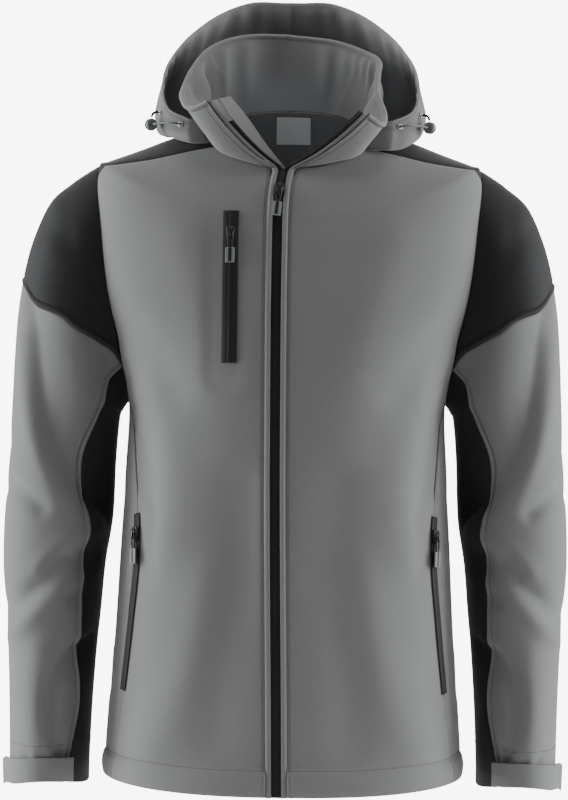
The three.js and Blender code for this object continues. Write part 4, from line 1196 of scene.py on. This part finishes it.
def add_cuff_tabs():
    for name, side in SIDES.items():
        def surface(u, v):
            angle = TAB_START + (TAB_END - TAB_START) * u
            row = TAB_TOP + (TAB_LOW - TAB_TOP) * v
            point = sleeve_point(side, row, angle)
            middle = (sleeve_point(side, row, 0) + sleeve_point(side, row, 180)) / 2
            bend = np.maximum(u - TAB_FLAT, 0) / (1 - TAB_FLAT)
            rise = TAB_LIFT + TAB_CLOTH + TAB_FLARE * bend * bend
            point = point + unit((point - middle) * np.array([1, 1, 0])) * rise[..., None]
            point[..., 2] -= TAB_DROOP * bend * bend
            return point
        us = ticks(150, 3, marks=[4, 12])
        vs = ticks(30, 2.5, marks=[3.5])
        obj = cloth(f"cuff_tab_{name}_cloth", surface, us, vs, (side * 255, -15, -695),
                    [SHELL_GREY, TAPE, SHELL_GREY], side, thick=TAB_CLOTH, edges="hhhh")
        place_sheet(obj, f"cuff_tab_{name}")


# Small folds inside the collar and the hood, by side and angle or row, with the height at which they run
COLLAR_FOLDS = [
    (-1, 38, 14.0, 0.32, 0.22, 5.5), (1, 38, 14.0, 0.32, 0.22, 5.5),
    (-1, 150, 7.0, 0.45, 0.40, -4.8), (-1, 128, 6.0, 0.55, 0.35, -5.6), (-1, 108, 7.0, 0.50, 0.35, 6.4),
    (-1, 92, 6.0, 0.55, 0.30, -8.0), (-1, 76, 7.0, 0.62, 0.30, 8.0), (-1, 170, 8.0, 0.45, 0.40, 4.0),
    (1, 160, 5.0, 0.50, 0.40, -4.8), (1, 147, 4.0, 0.70, 0.22, -3.2), (1, 139, 3.5, 0.76, 0.18, -3.2),
    (1, 131, 3.5, 0.76, 0.18, -3.2), (1, 122, 3.5, 0.74, 0.20, -3.8), (1, 112, 5.0, 0.45, 0.32, 5.6),
    (1, 98, 5.0, 0.50, 0.30, -7.2), (1, 82, 6.0, 0.60, 0.30, 7.2), (1, 66, 6.0, 0.50, 0.30, -5.6),
]
# Edge of the collar's inner facing, as a share of the way from the back to the front edge
FACING_EDGE = table("height left right", [
    [0, 0.27, 0.18],
    [0.3, 0.285, 0.20],
    [0.55, 0.30, 0.213],
    [0.7, 0.34, 0.23],
    [0.85, 0.37, 0.26],
    [1, 0.37, 0.29],
])
FACING_LAP = 0.9
COLLAR_ROLL = 1.8
COLLAR_STITCH = 6.5
COLLAR_LENGTH = 105
COLLAR_CENTRE = (0, 0, 60)


def collar_relief(u, v, points):
    around = u * 2 - 1
    angle = 180 - np.abs(around) * (180 - EDGE_ANGLE)
    height = np.zeros(u.shape)
    for side, at, wide, middle, long, depth in COLLAR_FOLDS:
        here = np.sign(around) == side
        height += here * depth * hump(angle - at, wide) * hump(v - middle, long) * smooth((0.96 - v) / 0.1)
    return height + rim_roll(u, v, points)


def fleece_share(u, v):
    """1 on the fleece at the back of the neck, 0 on the facing."""
    around = u * 2 - 1
    edge = np.where(around < 0, between(FACING_EDGE, "left", v), between(FACING_EDGE, "right", v))
    return smooth((edge - np.abs(around)) / 0.012 + 0.5)


def collar_inside(u, v, points):
    return -2 * rim_roll(u, v, points) - FACING_LAP * (1 - fleece_share(u, v)) * smooth((0.97 - v) / 0.06)


def rim_roll(u, v, points):
    """The collar's top edge is rolled over a cord, with a stitch groove below."""
    top = edge_distances(points)[3]
    return COLLAR_ROLL * hump(top - 3.0, 2.3) - 0.9 * hump(top - COLLAR_STITCH, 1.3)


def add_collar():
    us = ticks(560, FINE_CELL, marks=[6.5, 553.5])
    vs = ticks(COLLAR_LENGTH, FINE_CELL, marks=[COLLAR_LENGTH - COLLAR_STITCH])
    # The fade: on the fleece at the back of the neck, growing softly down the height; it carries the painted light of
    # the fleece colour.
    fade = lambda u, v: smooth((0.80 - v) / 0.55) * fleece_share(u, v)
    obj = cloth("collar_stand", collar_surface, us, vs, COLLAR_CENTRE, [SHELL_GREY, FACING, SHELL_GREY], 1,
                thick=COLLAR_CLOTH, edges="hhph", extra=collar_relief, fade=fade, inner_rims=("v0",),
                inner_extra=collar_inside)
    place_sheet(obj, "collar")


HOOD_FOLDS = [
    (0.35, 0.22, -3.0), (0.9, 0.18, -2.6), (1.5, 0.22, -3.2), (2.2, 0.2, -3.2), (2.75, 0.16, -3.4),
    (3.35, 0.18, -3.6), (3.9, 0.16, -3.4), (4.5, 0.2, -3.6), (5.2, 0.2, -3.0), (5.9, 0.2, -2.5),
]
HOOD_BRIM = 3.0
HOOD_CENTRE = (0, 40, 60)


def hood_relief(side):
    def relief(u, v, points):
        row = u / HOOD_SHARE * HOOD_ROWS
        height = np.zeros(u.shape)
        for k, (at, wide, depth) in enumerate(HOOD_FOLDS):
            lean = at + side * 0.12 + (v - 0.1) * (0.5 if k % 2 else -0.3)
            height += depth * hump(row - lean, wide) * smooth(v / 0.05) * smooth((0.34 - v) / 0.2)
        slack = 3.0 * np.sin(row * 1.9 + side) * smooth((v - 0.4) / 0.2) * smooth((0.95 - v) / 0.15)
        return height + slack - 0.7 * hump(edge_distances(points)[2] - HOOD_BRIM, 0.9)
    return relief


def add_hood():
    for name, side in SIDES.items():
        # Past the facing's edge the inside takes the lightened lining colour; both colours are painted light.
        fade = lambda u, v: smooth((v - 0.17) / 0.05)
        vs = ticks(250, FINE_CELL * 1.2, marks=[HOOD_BRIM])
        obj = cloth(f"hood_half_{name}", hood_surface(side), ticks(330, FINE_CELL * 1.2), vs, HOOD_CENTRE,
                    [SHELL_GREY, HOOD_FACING_PAINTED_LIGHT, SHELL_GREY], side, edges="phhp", extra=hood_relief(side), fade=fade)
        place_sheet(obj, f"hood_{name}")


def add_wind_flap():
    obj = cloth("inner_flap", wind_flap_surface, ticks(20, 1.6, marks=[16]), ticks(110, 3), (-30, 0, -10),
                [SHELL_GREY, FLEECE_PAINTED_LIGHT, SHELL_GREY], thick=FLAP_CLOTH, edges="hhhh")
    place_sheet(obj, "wind_flap")


# Main zip: the tapes' surface and the welts, up the front and on along the collar's edge
ZIP_END = 2.95
COLLAR_ROWS = (0.03, 0.97)
BODY_SHARE = 0.86


def zip_surface(side, v, distance):
    """Points and outward normals of the zip strips, by the share of their length and the distance aside."""
    step = ZIP_END * np.clip(v / BODY_SHARE, 0, 1)
    at = lambda step, distance: body_point(side, step, zip_turn(side, step, distance))
    up = at(np.minimum(step + 0.02, NECK_STEP), distance) - at(np.maximum(step - 0.02, 0), distance)
    beside = at(step, distance + 1) - at(step, distance - 1)
    out = unit(np.cross(up, beside))
    out = np.where(out[..., 1:2] > 0, -out, out)
    on_body = at(step, distance)
    past = np.clip((v - BODY_SHARE) / (1 - BODY_SHARE), 0, 1)
    height = COLLAR_ROWS[0] + (COLLAR_ROWS[1] - COLLAR_ROWS[0]) * past
    on_collar = edge_point(side, height, distance - WELT_INNER)
    out_collar = edge_normal(side, height)
    here = smooth((v - BODY_SHARE + 0.006) / 0.012)[..., None]
    return on_body + (on_collar - on_body) * here, unit(out + (out_collar - out) * here)


STRIP_ROWS = 420
TAPE_COLUMNS = [(-0.08, -0.95), (0.3, -0.7), (0.8, -0.62), (1.5, -0.6), (2.2, -0.62), (2.7, -0.8), (3.1, -0.95),
                (3.9, -0.95), (4.6, -0.95), (5.6, -0.95)]
WELT_COLUMNS = [(WELT_INNER, 0.1), (5.5, 0.75), (6.0, 1.15), (6.8, 1.38), (8.0, 1.4), (9.2, 1.3), (10.0, 0.95),
                (10.5, 0.4), (10.9, -0.2), (11.3, -0.7), (11.7, -0.9)]


def strip(name, side, columns, base, materials):
    """Strip of the zip. Its columns are pairs of a distance from the middle and a height above the cloth."""
    distances, lifts = zip(*columns)
    d, v = np.meshgrid(np.array(distances, float), np.linspace(0, 1, STRIP_ROWS))
    points, out = zip_surface(side, v, d)
    return wall_mesh(name, points + out * np.array(lifts)[None, :, None], points + out * base, materials)


def add_main_zip():
    for name, side in SIDES.items():
        obj = strip(f"main_tape_{name}", side, TAPE_COLUMNS, -TAPE_SINK - TAPE_CLOTH, [TAPE] * 3)
        place(obj, f"zip_tape_{name}")
        obj = strip(f"main_welt_{name}", side, WELT_COLUMNS, WELT_RISE - WELT_CLOTH, GREY_WALL)
        place(obj, f"zip_welt_{name}")


# Zip hardware, in a frame of its own: x across, y into the cloth and z up, with the pin at the origin
PIN_HALF = 0.8
PIN_ROOM = 0.5
SLIDER_DEPTH = 3.0
SLIDER_CLEAR = 0.3
SLIDER_SHAPE = [(-4.6, 4.2), (-4.3, 6.4), (-2.9, 7.5), (2.9, 7.5), (4.3, 6.4), (4.6, 4.2), (4.2, 0.5),
                (3.2, -4), (3.0, -6.8), (2.2, -7.5), (-2.2, -7.5), (-3.0, -6.8), (-3.2, -4), (-4.2, 0.5)]
SLIDER_CROWN = [(-2.6, 5.6), (2.6, 5.6), (3.1, 2.4), (1.9, -5.6), (-1.9, -5.6), (-3.1, 2.4)]
ARCH_PATH = [(0, 1.8, 4.5), (0, -0.4, 4.4), (0, -1.75, 3.3), (0, -1.9, 0), (0, -1.75, -3.3), (0, -0.4, -4.4),
             (0, 1.8, -4.5)]
LOOP_SHAPE = [(-2.4, 0.3), (-1.9, 0.8), (1.9, 0.8), (2.4, 0.3), (3.2, -5), (3.3, -9), (2.6, -13),
              (2.5, -17.2), (-2.5, -17.2), (-2.6, -13), (-3.3, -9), (-3.2, -5)]
LOOP_EYE = [(-1.6, -0.8), (1.6, -0.8), (1.7, -5.2), (1.2, -6.2), (-1.2, -6.2), (-1.7, -5.2)]
LOOP_SLOT = [(-1.5, -8), (1.5, -8), (1.4, -11.5), (0.9, -13), (-0.9, -13), (-1.4, -11.5)]
GRIP_SHAPE = [(-4.4, -16), (4.4, -16), (4.8, -16.4), (4.8, -31.2), (4.2, -32.2), (-4.2, -32.2), (-4.8, -31.2),
              (-4.8, -16.4)]
STRIPE_SHAPE = [(-1.7, -16.4), (1.7, -16.4), (1.7, -31.4), (-1.7, -31.4)]


def plate(outlines, front, depth, bevel):
    """Points and faces of a plate with rounded edges; the first outline may have holes after it."""
    curve = bpy.data.curves.new("outline", "CURVE")
    curve.dimensions = "2D"
    curve.fill_mode = "BOTH"
    curve.extrude = depth / 2 - bevel
    curve.bevel_depth = bevel
    curve.bevel_resolution = 2
    curve.offset = -bevel
    for outline in outlines:
        spline = curve.splines.new("POLY")
        spline.points.add(len(outline) - 1)
        for point, (x, z) in zip(spline.points, outline):
            point.co = (x, z, 0, 1)
        spline.use_cyclic_u = True
    holder = show("outline", curve)
    bpy.context.view_layer.update()
    mesh = bpy.data.meshes.new_from_object(holder.evaluated_get(bpy.context.evaluated_depsgraph_get()))
    points = np.array([vertex.co[:] for vertex in mesh.vertices])
    faces = [list(face.vertices) for face in mesh.polygons]
    bpy.data.objects.remove(holder)
    bpy.data.curves.remove(curve)
    bpy.data.meshes.remove(mesh)
    return np.stack([points[:, 0], front + depth / 2 - points[:, 2], points[:, 1]], axis=-1), faces


def rounded(outline, times=2):
    """A closed outline with its corners rounded off."""
    line = np.array(outline, float)
    for _ in range(times):
        following = np.roll(line, -1, axis=0)
        cut = (following - line) * 0.15
        line = np.stack([line + cut, following - cut], axis=1).reshape(-1, 2)
    return [tuple(point) for point in line]


def line_frame(side, step, turn_of):
    e = 0.01
    turn = turn_of(step)
    middle = body_point(side, step, turn)
    up = unit(body_point(side, step + e, turn_of(step + e)) - body_point(side, step - e, turn_of(step - e)))
    beside = body_point(side, step, turn + 1) - body_point(side, step, turn - 1)
    out = unit(np.cross(up, beside))
    away = (out * (middle - np.array(BODY_CENTRE))).sum(-1, keepdims=True)
    out = np.where(away < 0, -out, out)
    return middle, unit(np.cross(up, out)), out, up


def hardware(name, parts, place_at, axes, materials):
    """Joined parts, each of points, faces and a material number, put at a place with the axes given."""
    points, faces, kinds, start = [], [], [], 0
    for part_points, part_faces, kind in parts:
        points.append(part_points)
        faces += [[i + start for i in face] for face in part_faces]
        kinds += [kind] * len(part_faces)
        start += len(part_points)
    local = np.concatenate(points)
    world = place_at + local @ np.stack(axes)
    obj = solid(name, world, faces, materials, kinds)
    smooth_angle(obj, 35)
    return obj


def add_slider(prefix, side, step, turn_of, on_tape):
    middle, across, out, up = line_frame(side, np.array(float(step)), turn_of)
    pin = middle + out * (on_tape + PIN_HALF + PIN_ROOM + SLIDER_DEPTH + SLIDER_CLEAR)
    axes = (across, -out, up)
    front = PIN_HALF + PIN_ROOM
    body = plate([rounded(SLIDER_SHAPE)], front, SLIDER_DEPTH, 0.6)
    crown = plate([rounded(SLIDER_CROWN)], front - 0.35, 1.0, 0.3)
    path = rounded_route(ARCH_PATH, 1, 6)
    arch = tube_parts(path, np.array(rounded([(-1.0, -0.5), (1.0, -0.5), (1.0, 0.5), (-1.0, 0.5)], 1)))
    slider = hardware(f"{prefix}_runner", [(*body, 0), (*crown, 0), (*arch, 0)], pin, axes, [LACQUER])
    place(slider, f"{prefix}_slider")
    outlines = [rounded(LOOP_SHAPE), rounded(LOOP_EYE, 1), rounded(LOOP_SLOT, 1)]
    loop = plate(outlines, -PIN_HALF, 2 * PIN_HALF, 0.4)
    grip = plate([rounded(GRIP_SHAPE, 1)], -PIN_HALF - 0.2, 2 * PIN_HALF + 0.4, 0.5)
    stripe = plate([STRIPE_SHAPE], -PIN_HALF - 0.4, 2 * PIN_HALF + 0.8, 0.2)
    parts = [(*loop, 0), (*grip, 1), (*stripe, 0)]
    tab = hardware(f"{prefix}_tab", parts, pin, axes, [LACQUER, GRIP])
    place(tab, f"{prefix}_pull", f"{prefix}_pull")


def chest_turn(step):
    return turn_at_width(step, -CHEST_POCKET["x"])


def pocket_turn(step):
    return side_turn(True, step)


COIL = {"half": 1.6, "rise": 0.55}


def pocket_strip(name, side, pocket, turn_of):
    """Pocket zip: a woven tape with the covered coil down its middle."""
    steps = np.linspace(pocket["top"], pocket["end"], 90)
    middle, across, out, _ = line_frame(side, steps, turn_of)
    half = pocket["half"]
    inner = [x for x in (-2.4, -1.7, -1.0, -0.4, 0, 0.4, 1.0, 1.7, 2.4) if abs(x) < half - 0.5]
    columns = np.array([-half, 0.4 - half] + inner + [half - 0.4, half])
    coil = COIL["rise"] * np.sqrt(np.clip(1 - (columns / COIL["half"]) ** 2, 0, 1))
    rise = coil - 0.15 * hump(columns, 0.25) - np.where(np.abs(columns) > half - 0.1, 0.35, 0)
    flat = middle[:, None] + across[:, None] * columns[None, :, None]
    outer = flat + out[:, None] * (POCKET_LIFT + TAPE_CLOTH + rise)[None, :, None]
    inner_side = flat + out[:, None] * POCKET_LIFT
    return wall_mesh(name, outer, inner_side, [TAPE] * 3)


def add_pockets():
    obj = pocket_strip("chest_zip_tape", -1, CHEST_POCKET, chest_turn)
    place(obj, "chest_zip")
    for name, side in SIDES.items():
        obj = pocket_strip(f"pocket_tape_{name}", side, HAND_POCKET, pocket_turn)
        place(obj, f"pocket_zip_{name}")
        add_slider(f"pocket_{name}", side, HAND_POCKET["slider"], pocket_turn, POCKET_LIFT + TAPE_CLOTH)
    add_slider("chest", -1, CHEST_POCKET["slider"], chest_turn, POCKET_LIFT + TAPE_CLOTH)
    add_slider("front", -1, FRONT_SLIDER_STEP, lambda step: zip_turn(-1, step, 0), 0)


# Label inside the neck
LABEL_BOX = {"x": 4.0, "width": 39.0, "top": 2.93, "end": 2.48, "cloth": 1.0, "gap": 1.5}


def add_label():
    half = LABEL_BOX["width"] / 2

    def surface(u, v):
        step = LABEL_BOX["end"] + (LABEL_BOX["top"] - LABEL_BOX["end"]) * v
        return body_point(1, step, -turn_at_width(step, LABEL_BOX["x"] - half + LABEL_BOX["width"] * u))
    obj = cloth("label_blank", surface, ticks(39, 1.5), ticks(27, 1.5), BODY_CENTRE, [SATIN] * 3,
                thick=LABEL_BOX["cloth"], lift=-CLOTH - LABEL_BOX["gap"], edges="pppp",
                extra=lambda u, v, points: -0.25 * hump(v - 0.93, 0.03) + 0.3 * np.sin(u * 4 + v * 2))
    place_sheet(obj, "neck_label")


# Folded cover over the top end of the left tape
GARAGE = {"low": 0.72, "top": 0.985, "lift": 1.3, "cloth": 0.9, "outer": 6.4, "inner": -3.0}


def add_garage():
    def surface(u, v):
        height = GARAGE["low"] + (GARAGE["top"] - GARAGE["low"]) * v
        reach = GARAGE["inner"] * smooth(v * 1.4)
        distance = GARAGE["outer"] + (reach - GARAGE["outer"]) * u
        points, out = zip_surface(-1, BODY_SHARE + (height - 0.03) / 0.94 * (1 - BODY_SHARE), distance)
        roll = -2.6 * smooth((u - 0.75) / 0.25) * smooth(v * 1.4)
        return points + out * (GARAGE["lift"] + roll)[..., None]
    obj = cloth("zip_garage", surface, ticks(14, 1.0), ticks(30, 1.2), (-60, 40, 0), [SHELL_GREY] * 3, -1,
                thick=GARAGE["cloth"], edges="hhhh")
    place_sheet(obj, None)


# Coil teeth along the open part of both tapes
TOOTH = {"pitch": 1.5, "length": 2.4, "radius": 0.42, "sink": 0.55}


def spindles(middles, forward, aside, up, rings):
    """Points and faces of small four-sided spindles, with a (reach, radius, rise) for each ring of them."""
    corners = [middles + forward * reach + aside * a * radius + up * (b * radius + rise)
               for reach, radius, rise in rings for a, b in ((1, 0), (0, 1), (-1, 0), (0, -1))]
    last = len(corners) - 4
    faces = [[ring + k, ring + (k + 1) % 4, ring + 4 + (k + 1) % 4, ring + 4 + k]
             for ring in range(0, last, 4) for k in range(4)]
    faces += [[3, 2, 1, 0], [last, last + 1, last + 2, last + 3]]
    starts = np.arange(len(middles)) * len(corners)
    faces = np.array(faces)[None] + starts[:, None, None]
    return np.stack(corners, axis=1).reshape(-1, 3), faces.reshape(-1, 4)


def place_rows(name, rows, material):
    """One piece of many rows of spindles, each row a pair of points and faces."""
    faces = []
    start = 0
    for points, row_faces in rows:
        faces += (row_faces + start).tolist()
        start += len(points)
    obj = solid(name, np.concatenate([points for points, _ in rows]), faces, [material])
    place(obj, None)


def add_teeth():
    half = TOOTH["length"] / 2
    r = TOOTH["radius"]
    rings = [(-half, r / 2, 0), (-half * 0.6, r, 0), (half * 0.6, r, 0), (half, r / 2, 0)]
    rows = []
    for side in (-1, 1):
        low = BODY_SHARE * (FRONT_SLIDER_STEP + 0.13) / ZIP_END
        v = np.linspace(low, 0.995, 700)
        points, out = zip_surface(side, v, np.full(700, 1.3))
        inner, _ = zip_surface(side, v, np.full(700, 0.3))
        at = np.linspace(0, 699, int(length_of(points) / TOOTH["pitch"])).astype(int)
        forward = unit(points[at] - inner[at])
        up = unit(np.cross(forward, out[at]))
        rows.append(spindles(points[at] - out[at] * TOOTH["sink"], forward, up, out[at], rings))
    place_rows("coil_teeth", rows, LACQUER)


# Eyelets: a rolled metal rim round an open middle
EYELET_RADIUS = 3.2
EYELET_HOLE = 1.6
EYELET_LIFT = 0.5


def add_eyelets():
    for name, side in SIDES.items():
        for part, (row, v) in HOOD_EYELETS.items():
            point, out = hood_frame(side, np.array(row), np.array(v))
            ring = [(EYELET_HOLE, 0.1), (EYELET_HOLE, 0.7), (1.85, 1.0), (2.3, 1.12), (2.8, 0.95), (3.1, 0.6),
                    (EYELET_RADIUS, 0.15), (EYELET_RADIUS, 0)]
            obj = lathe(f"eyelet_rim_{part}_{name}", ring, point + out * EYELET_LIFT, out, [STEEL], 32)
            smooth_angle(obj, 60)
            place(obj, f"eyelet_{part}_{name}")


# Stitching: short raised threads laid on a panel along a line
STITCH = {"length": 2.3, "pitch": 3.1, "radius": 0.42}


def lay_on(tree, path):
    """Nearest points of a panel to a path, and its normals there."""
    places, normals = [], []
    for point in path:
        where, normal, _, _ = tree.find_nearest(Vector(point))
        places.append(tuple(where))
        normals.append(tuple(normal))
    return np.array(places), np.array(normals)


def along(path, pitch):
    """Points at even distances along a path."""
    distance = np.concatenate([[0], np.cumsum(np.linalg.norm(np.diff(path, axis=0), axis=1))])
    at = np.arange(pitch / 2, distance[-1], pitch)
    return np.stack([np.interp(at, distance, path[:, k]) for k in range(3)], axis=-1)


def stitch_row(panel, path, centre):
    """Points and faces of a row of stitches."""
    middles, normals = lay_on(TREES[panel], along(np.asarray(path, float), STITCH["pitch"]))
    away = middles - np.array(centre, float)
    normals = np.where((normals * away).sum(-1, keepdims=True) < 0, -normals, normals)
    tangents = unit(np.gradient(middles, axis=0))
    half = STITCH["length"] / 2
    r = STITCH["radius"]
    rings = [(-half, 0.3 * r, -0.25 * r), (0, r, 0.35 * r), (half, 0.3 * r, -0.25 * r)]
    return spindles(middles, tangents, unit(np.cross(tangents, normals)), normals, rings)


def add_stitching():
    t = np.linspace(0, 1, 300)
    rows = []
    black = []
    for name, side in SIDES.items():
        step = np.linspace(0.005, 2.98, 400)
        flare = np.maximum(step - 2.6, 0) / 0.4 * (FRONT_START_NECK - FRONT_START)
        line = body_point(side, step, zip_turn(side, step, FRONT_START + 3.2 + flare))
        rows.append((f"front_panel_{name}", line, BODY_CENTRE))
        hem = np.full(300, HEM_STEP)
        front = zip_turn(side, hem, 12.0)
        edge = side_turn(True, hem)
        rows.append((f"front_panel_{name}", body_point(side, hem, front + (edge - front) * t), BODY_CENTRE))
        across = side_turn(True, hem) + (side_turn(False, hem) - side_turn(True, hem)) * t
        rows.append((f"side_panel_{name}", body_point(side, hem, across), SIDE_CENTRE))
        centre = (side * 252, -14, -665)
        angle = np.linspace(-120, 120, 300)
        ring = sleeve_point(side, np.full(300, 13.5), angle)
        ring[:, 2] = -CUFF_LINE
        rows.append((f"sleeve_main_{name}", ring, centre))
        line = edge_point(side, t, COLLAR_START + 6.0)
        rows.append(("collar_stand", line, COLLAR_CENTRE))
        rim = hood_point(side, t * HOOD_ROWS, np.full(300, 0.013))
        rows.append((f"hood_half_{name}", rim, HOOD_CENTRE))
        angle = 180 + np.linspace(-40, 40, 80)
        ring = sleeve_point(side, np.full(80, 13.5), angle)
        ring[:, 2] = -CUFF_LINE
        black.append((f"sleeve_under_{name}", ring, centre))
    turn = np.linspace(float(side_turn(False, HEM_STEP)), 180 - float(side_turn(False, HEM_STEP)), 300)
    rows.append(("back_panel", body_point(1, np.full(300, HEM_STEP), turn), BODY_CENTRE))
    u = np.linspace(0.004, 0.996, 900)
    top = collar_surface(u, np.full(900, 1 - COLLAR_STITCH / COLLAR_LENGTH))
    rows.append(("collar_stand", top, COLLAR_CENTRE))
    place_rows("stitching_grey", [stitch_row(*row) for row in rows], THREAD)
    place_rows("stitching_black", [stitch_row(*row) for row in black], THREAD_BLACK)


FLOOR_LEVEL = -1.15
FLOOR_RADIUS = 1.5


def add_floor():
    around = circle(FLOOR_RADIUS, 64)
    data = bpy.data.meshes.new("floor")
    data.from_pydata([(x, y, FLOOR_LEVEL) for x, y in around], [], [list(range(64))])
    floor = show("floor", data)
    material, tree, shader = material_of("floor_pale")
    feed(tree, shader, {"Base Color": (0.9, 0.9, 0.9, 1), "Roughness": 0.9})
    data.materials.append(material)


def add_light(name, where, aim, size, power, colour=(1, 1, 1)):
    data = bpy.data.lights.new(name, "AREA")
    data.shape = "RECTANGLE"
    data.size, data.size_y = size
    data.energy = power
    data.color = colour
    light = show(name, data)
    light.location = where
    light.rotation_euler = (Vector(aim) - Vector(where)).to_track_quat("-Z", "Y").to_euler()


AMBIENT = 0.13
BACKDROP = 8.0


def add_lights():
    add_light("strip_left", (-2.4, -0.02, 0.0), (-0.1, 0, -0.3), (0.9, 2.6), 84, (0.96, 0.98, 1.0))
    add_light("strip_right", (2.4, -0.05, 0.0), (0.1, 0, -0.3), (0.9, 2.6), 78, (0.96, 0.98, 1.0))
    add_light("key_left", (-2.2, -0.85, 0.1), (0, 0, -0.3), (0.8, 2.4), 14)
    add_light("key_right", (2.2, -0.9, 0.1), (0, 0, -0.3), (0.8, 2.4), 14)
    add_light("fill", (-0.2, -3.2, -0.2), (0, 0, 0), (1.6, 1.2), 6)
    add_light("top", (0, -0.3, 2.6), (0, 0, 0), (1.2, 1.0), 22)
    add_light("rear", (0, 2.6, 1.4), (0, 0, -0.2), (2.0, 1.6), 30)
    world = bpy.data.worlds.new("studio")
    bpy.context.scene.world = world
    world.use_nodes = True
    tree = world.node_tree
    dim = tree.nodes["Background"]
    feed(tree, dim, {"Color": (1, 1, 1, 1), "Strength": AMBIENT})
    plain = add_node(tree, "Background", {"Color": (1, 1, 1, 1), "Strength": BACKDROP})
    seen = add_node(tree, "LightPath", {}).outputs["Is Camera Ray"]
    mix = add_node(tree, "MixShader", {"Fac": seen, 1: dim.outputs["Background"], 2: plain.outputs["Background"]})
    feed(tree, tree.nodes["World Output"], {"Surface": mix.outputs["Shader"]})


add_body()
add_sleeves()
add_cuff_tabs()
add_collar()
add_hood()
add_wind_flap()
add_main_zip()
add_pockets()
add_label()
add_garage()
add_teeth()
add_eyelets()
add_stitching()
add_floor()
add_lights()
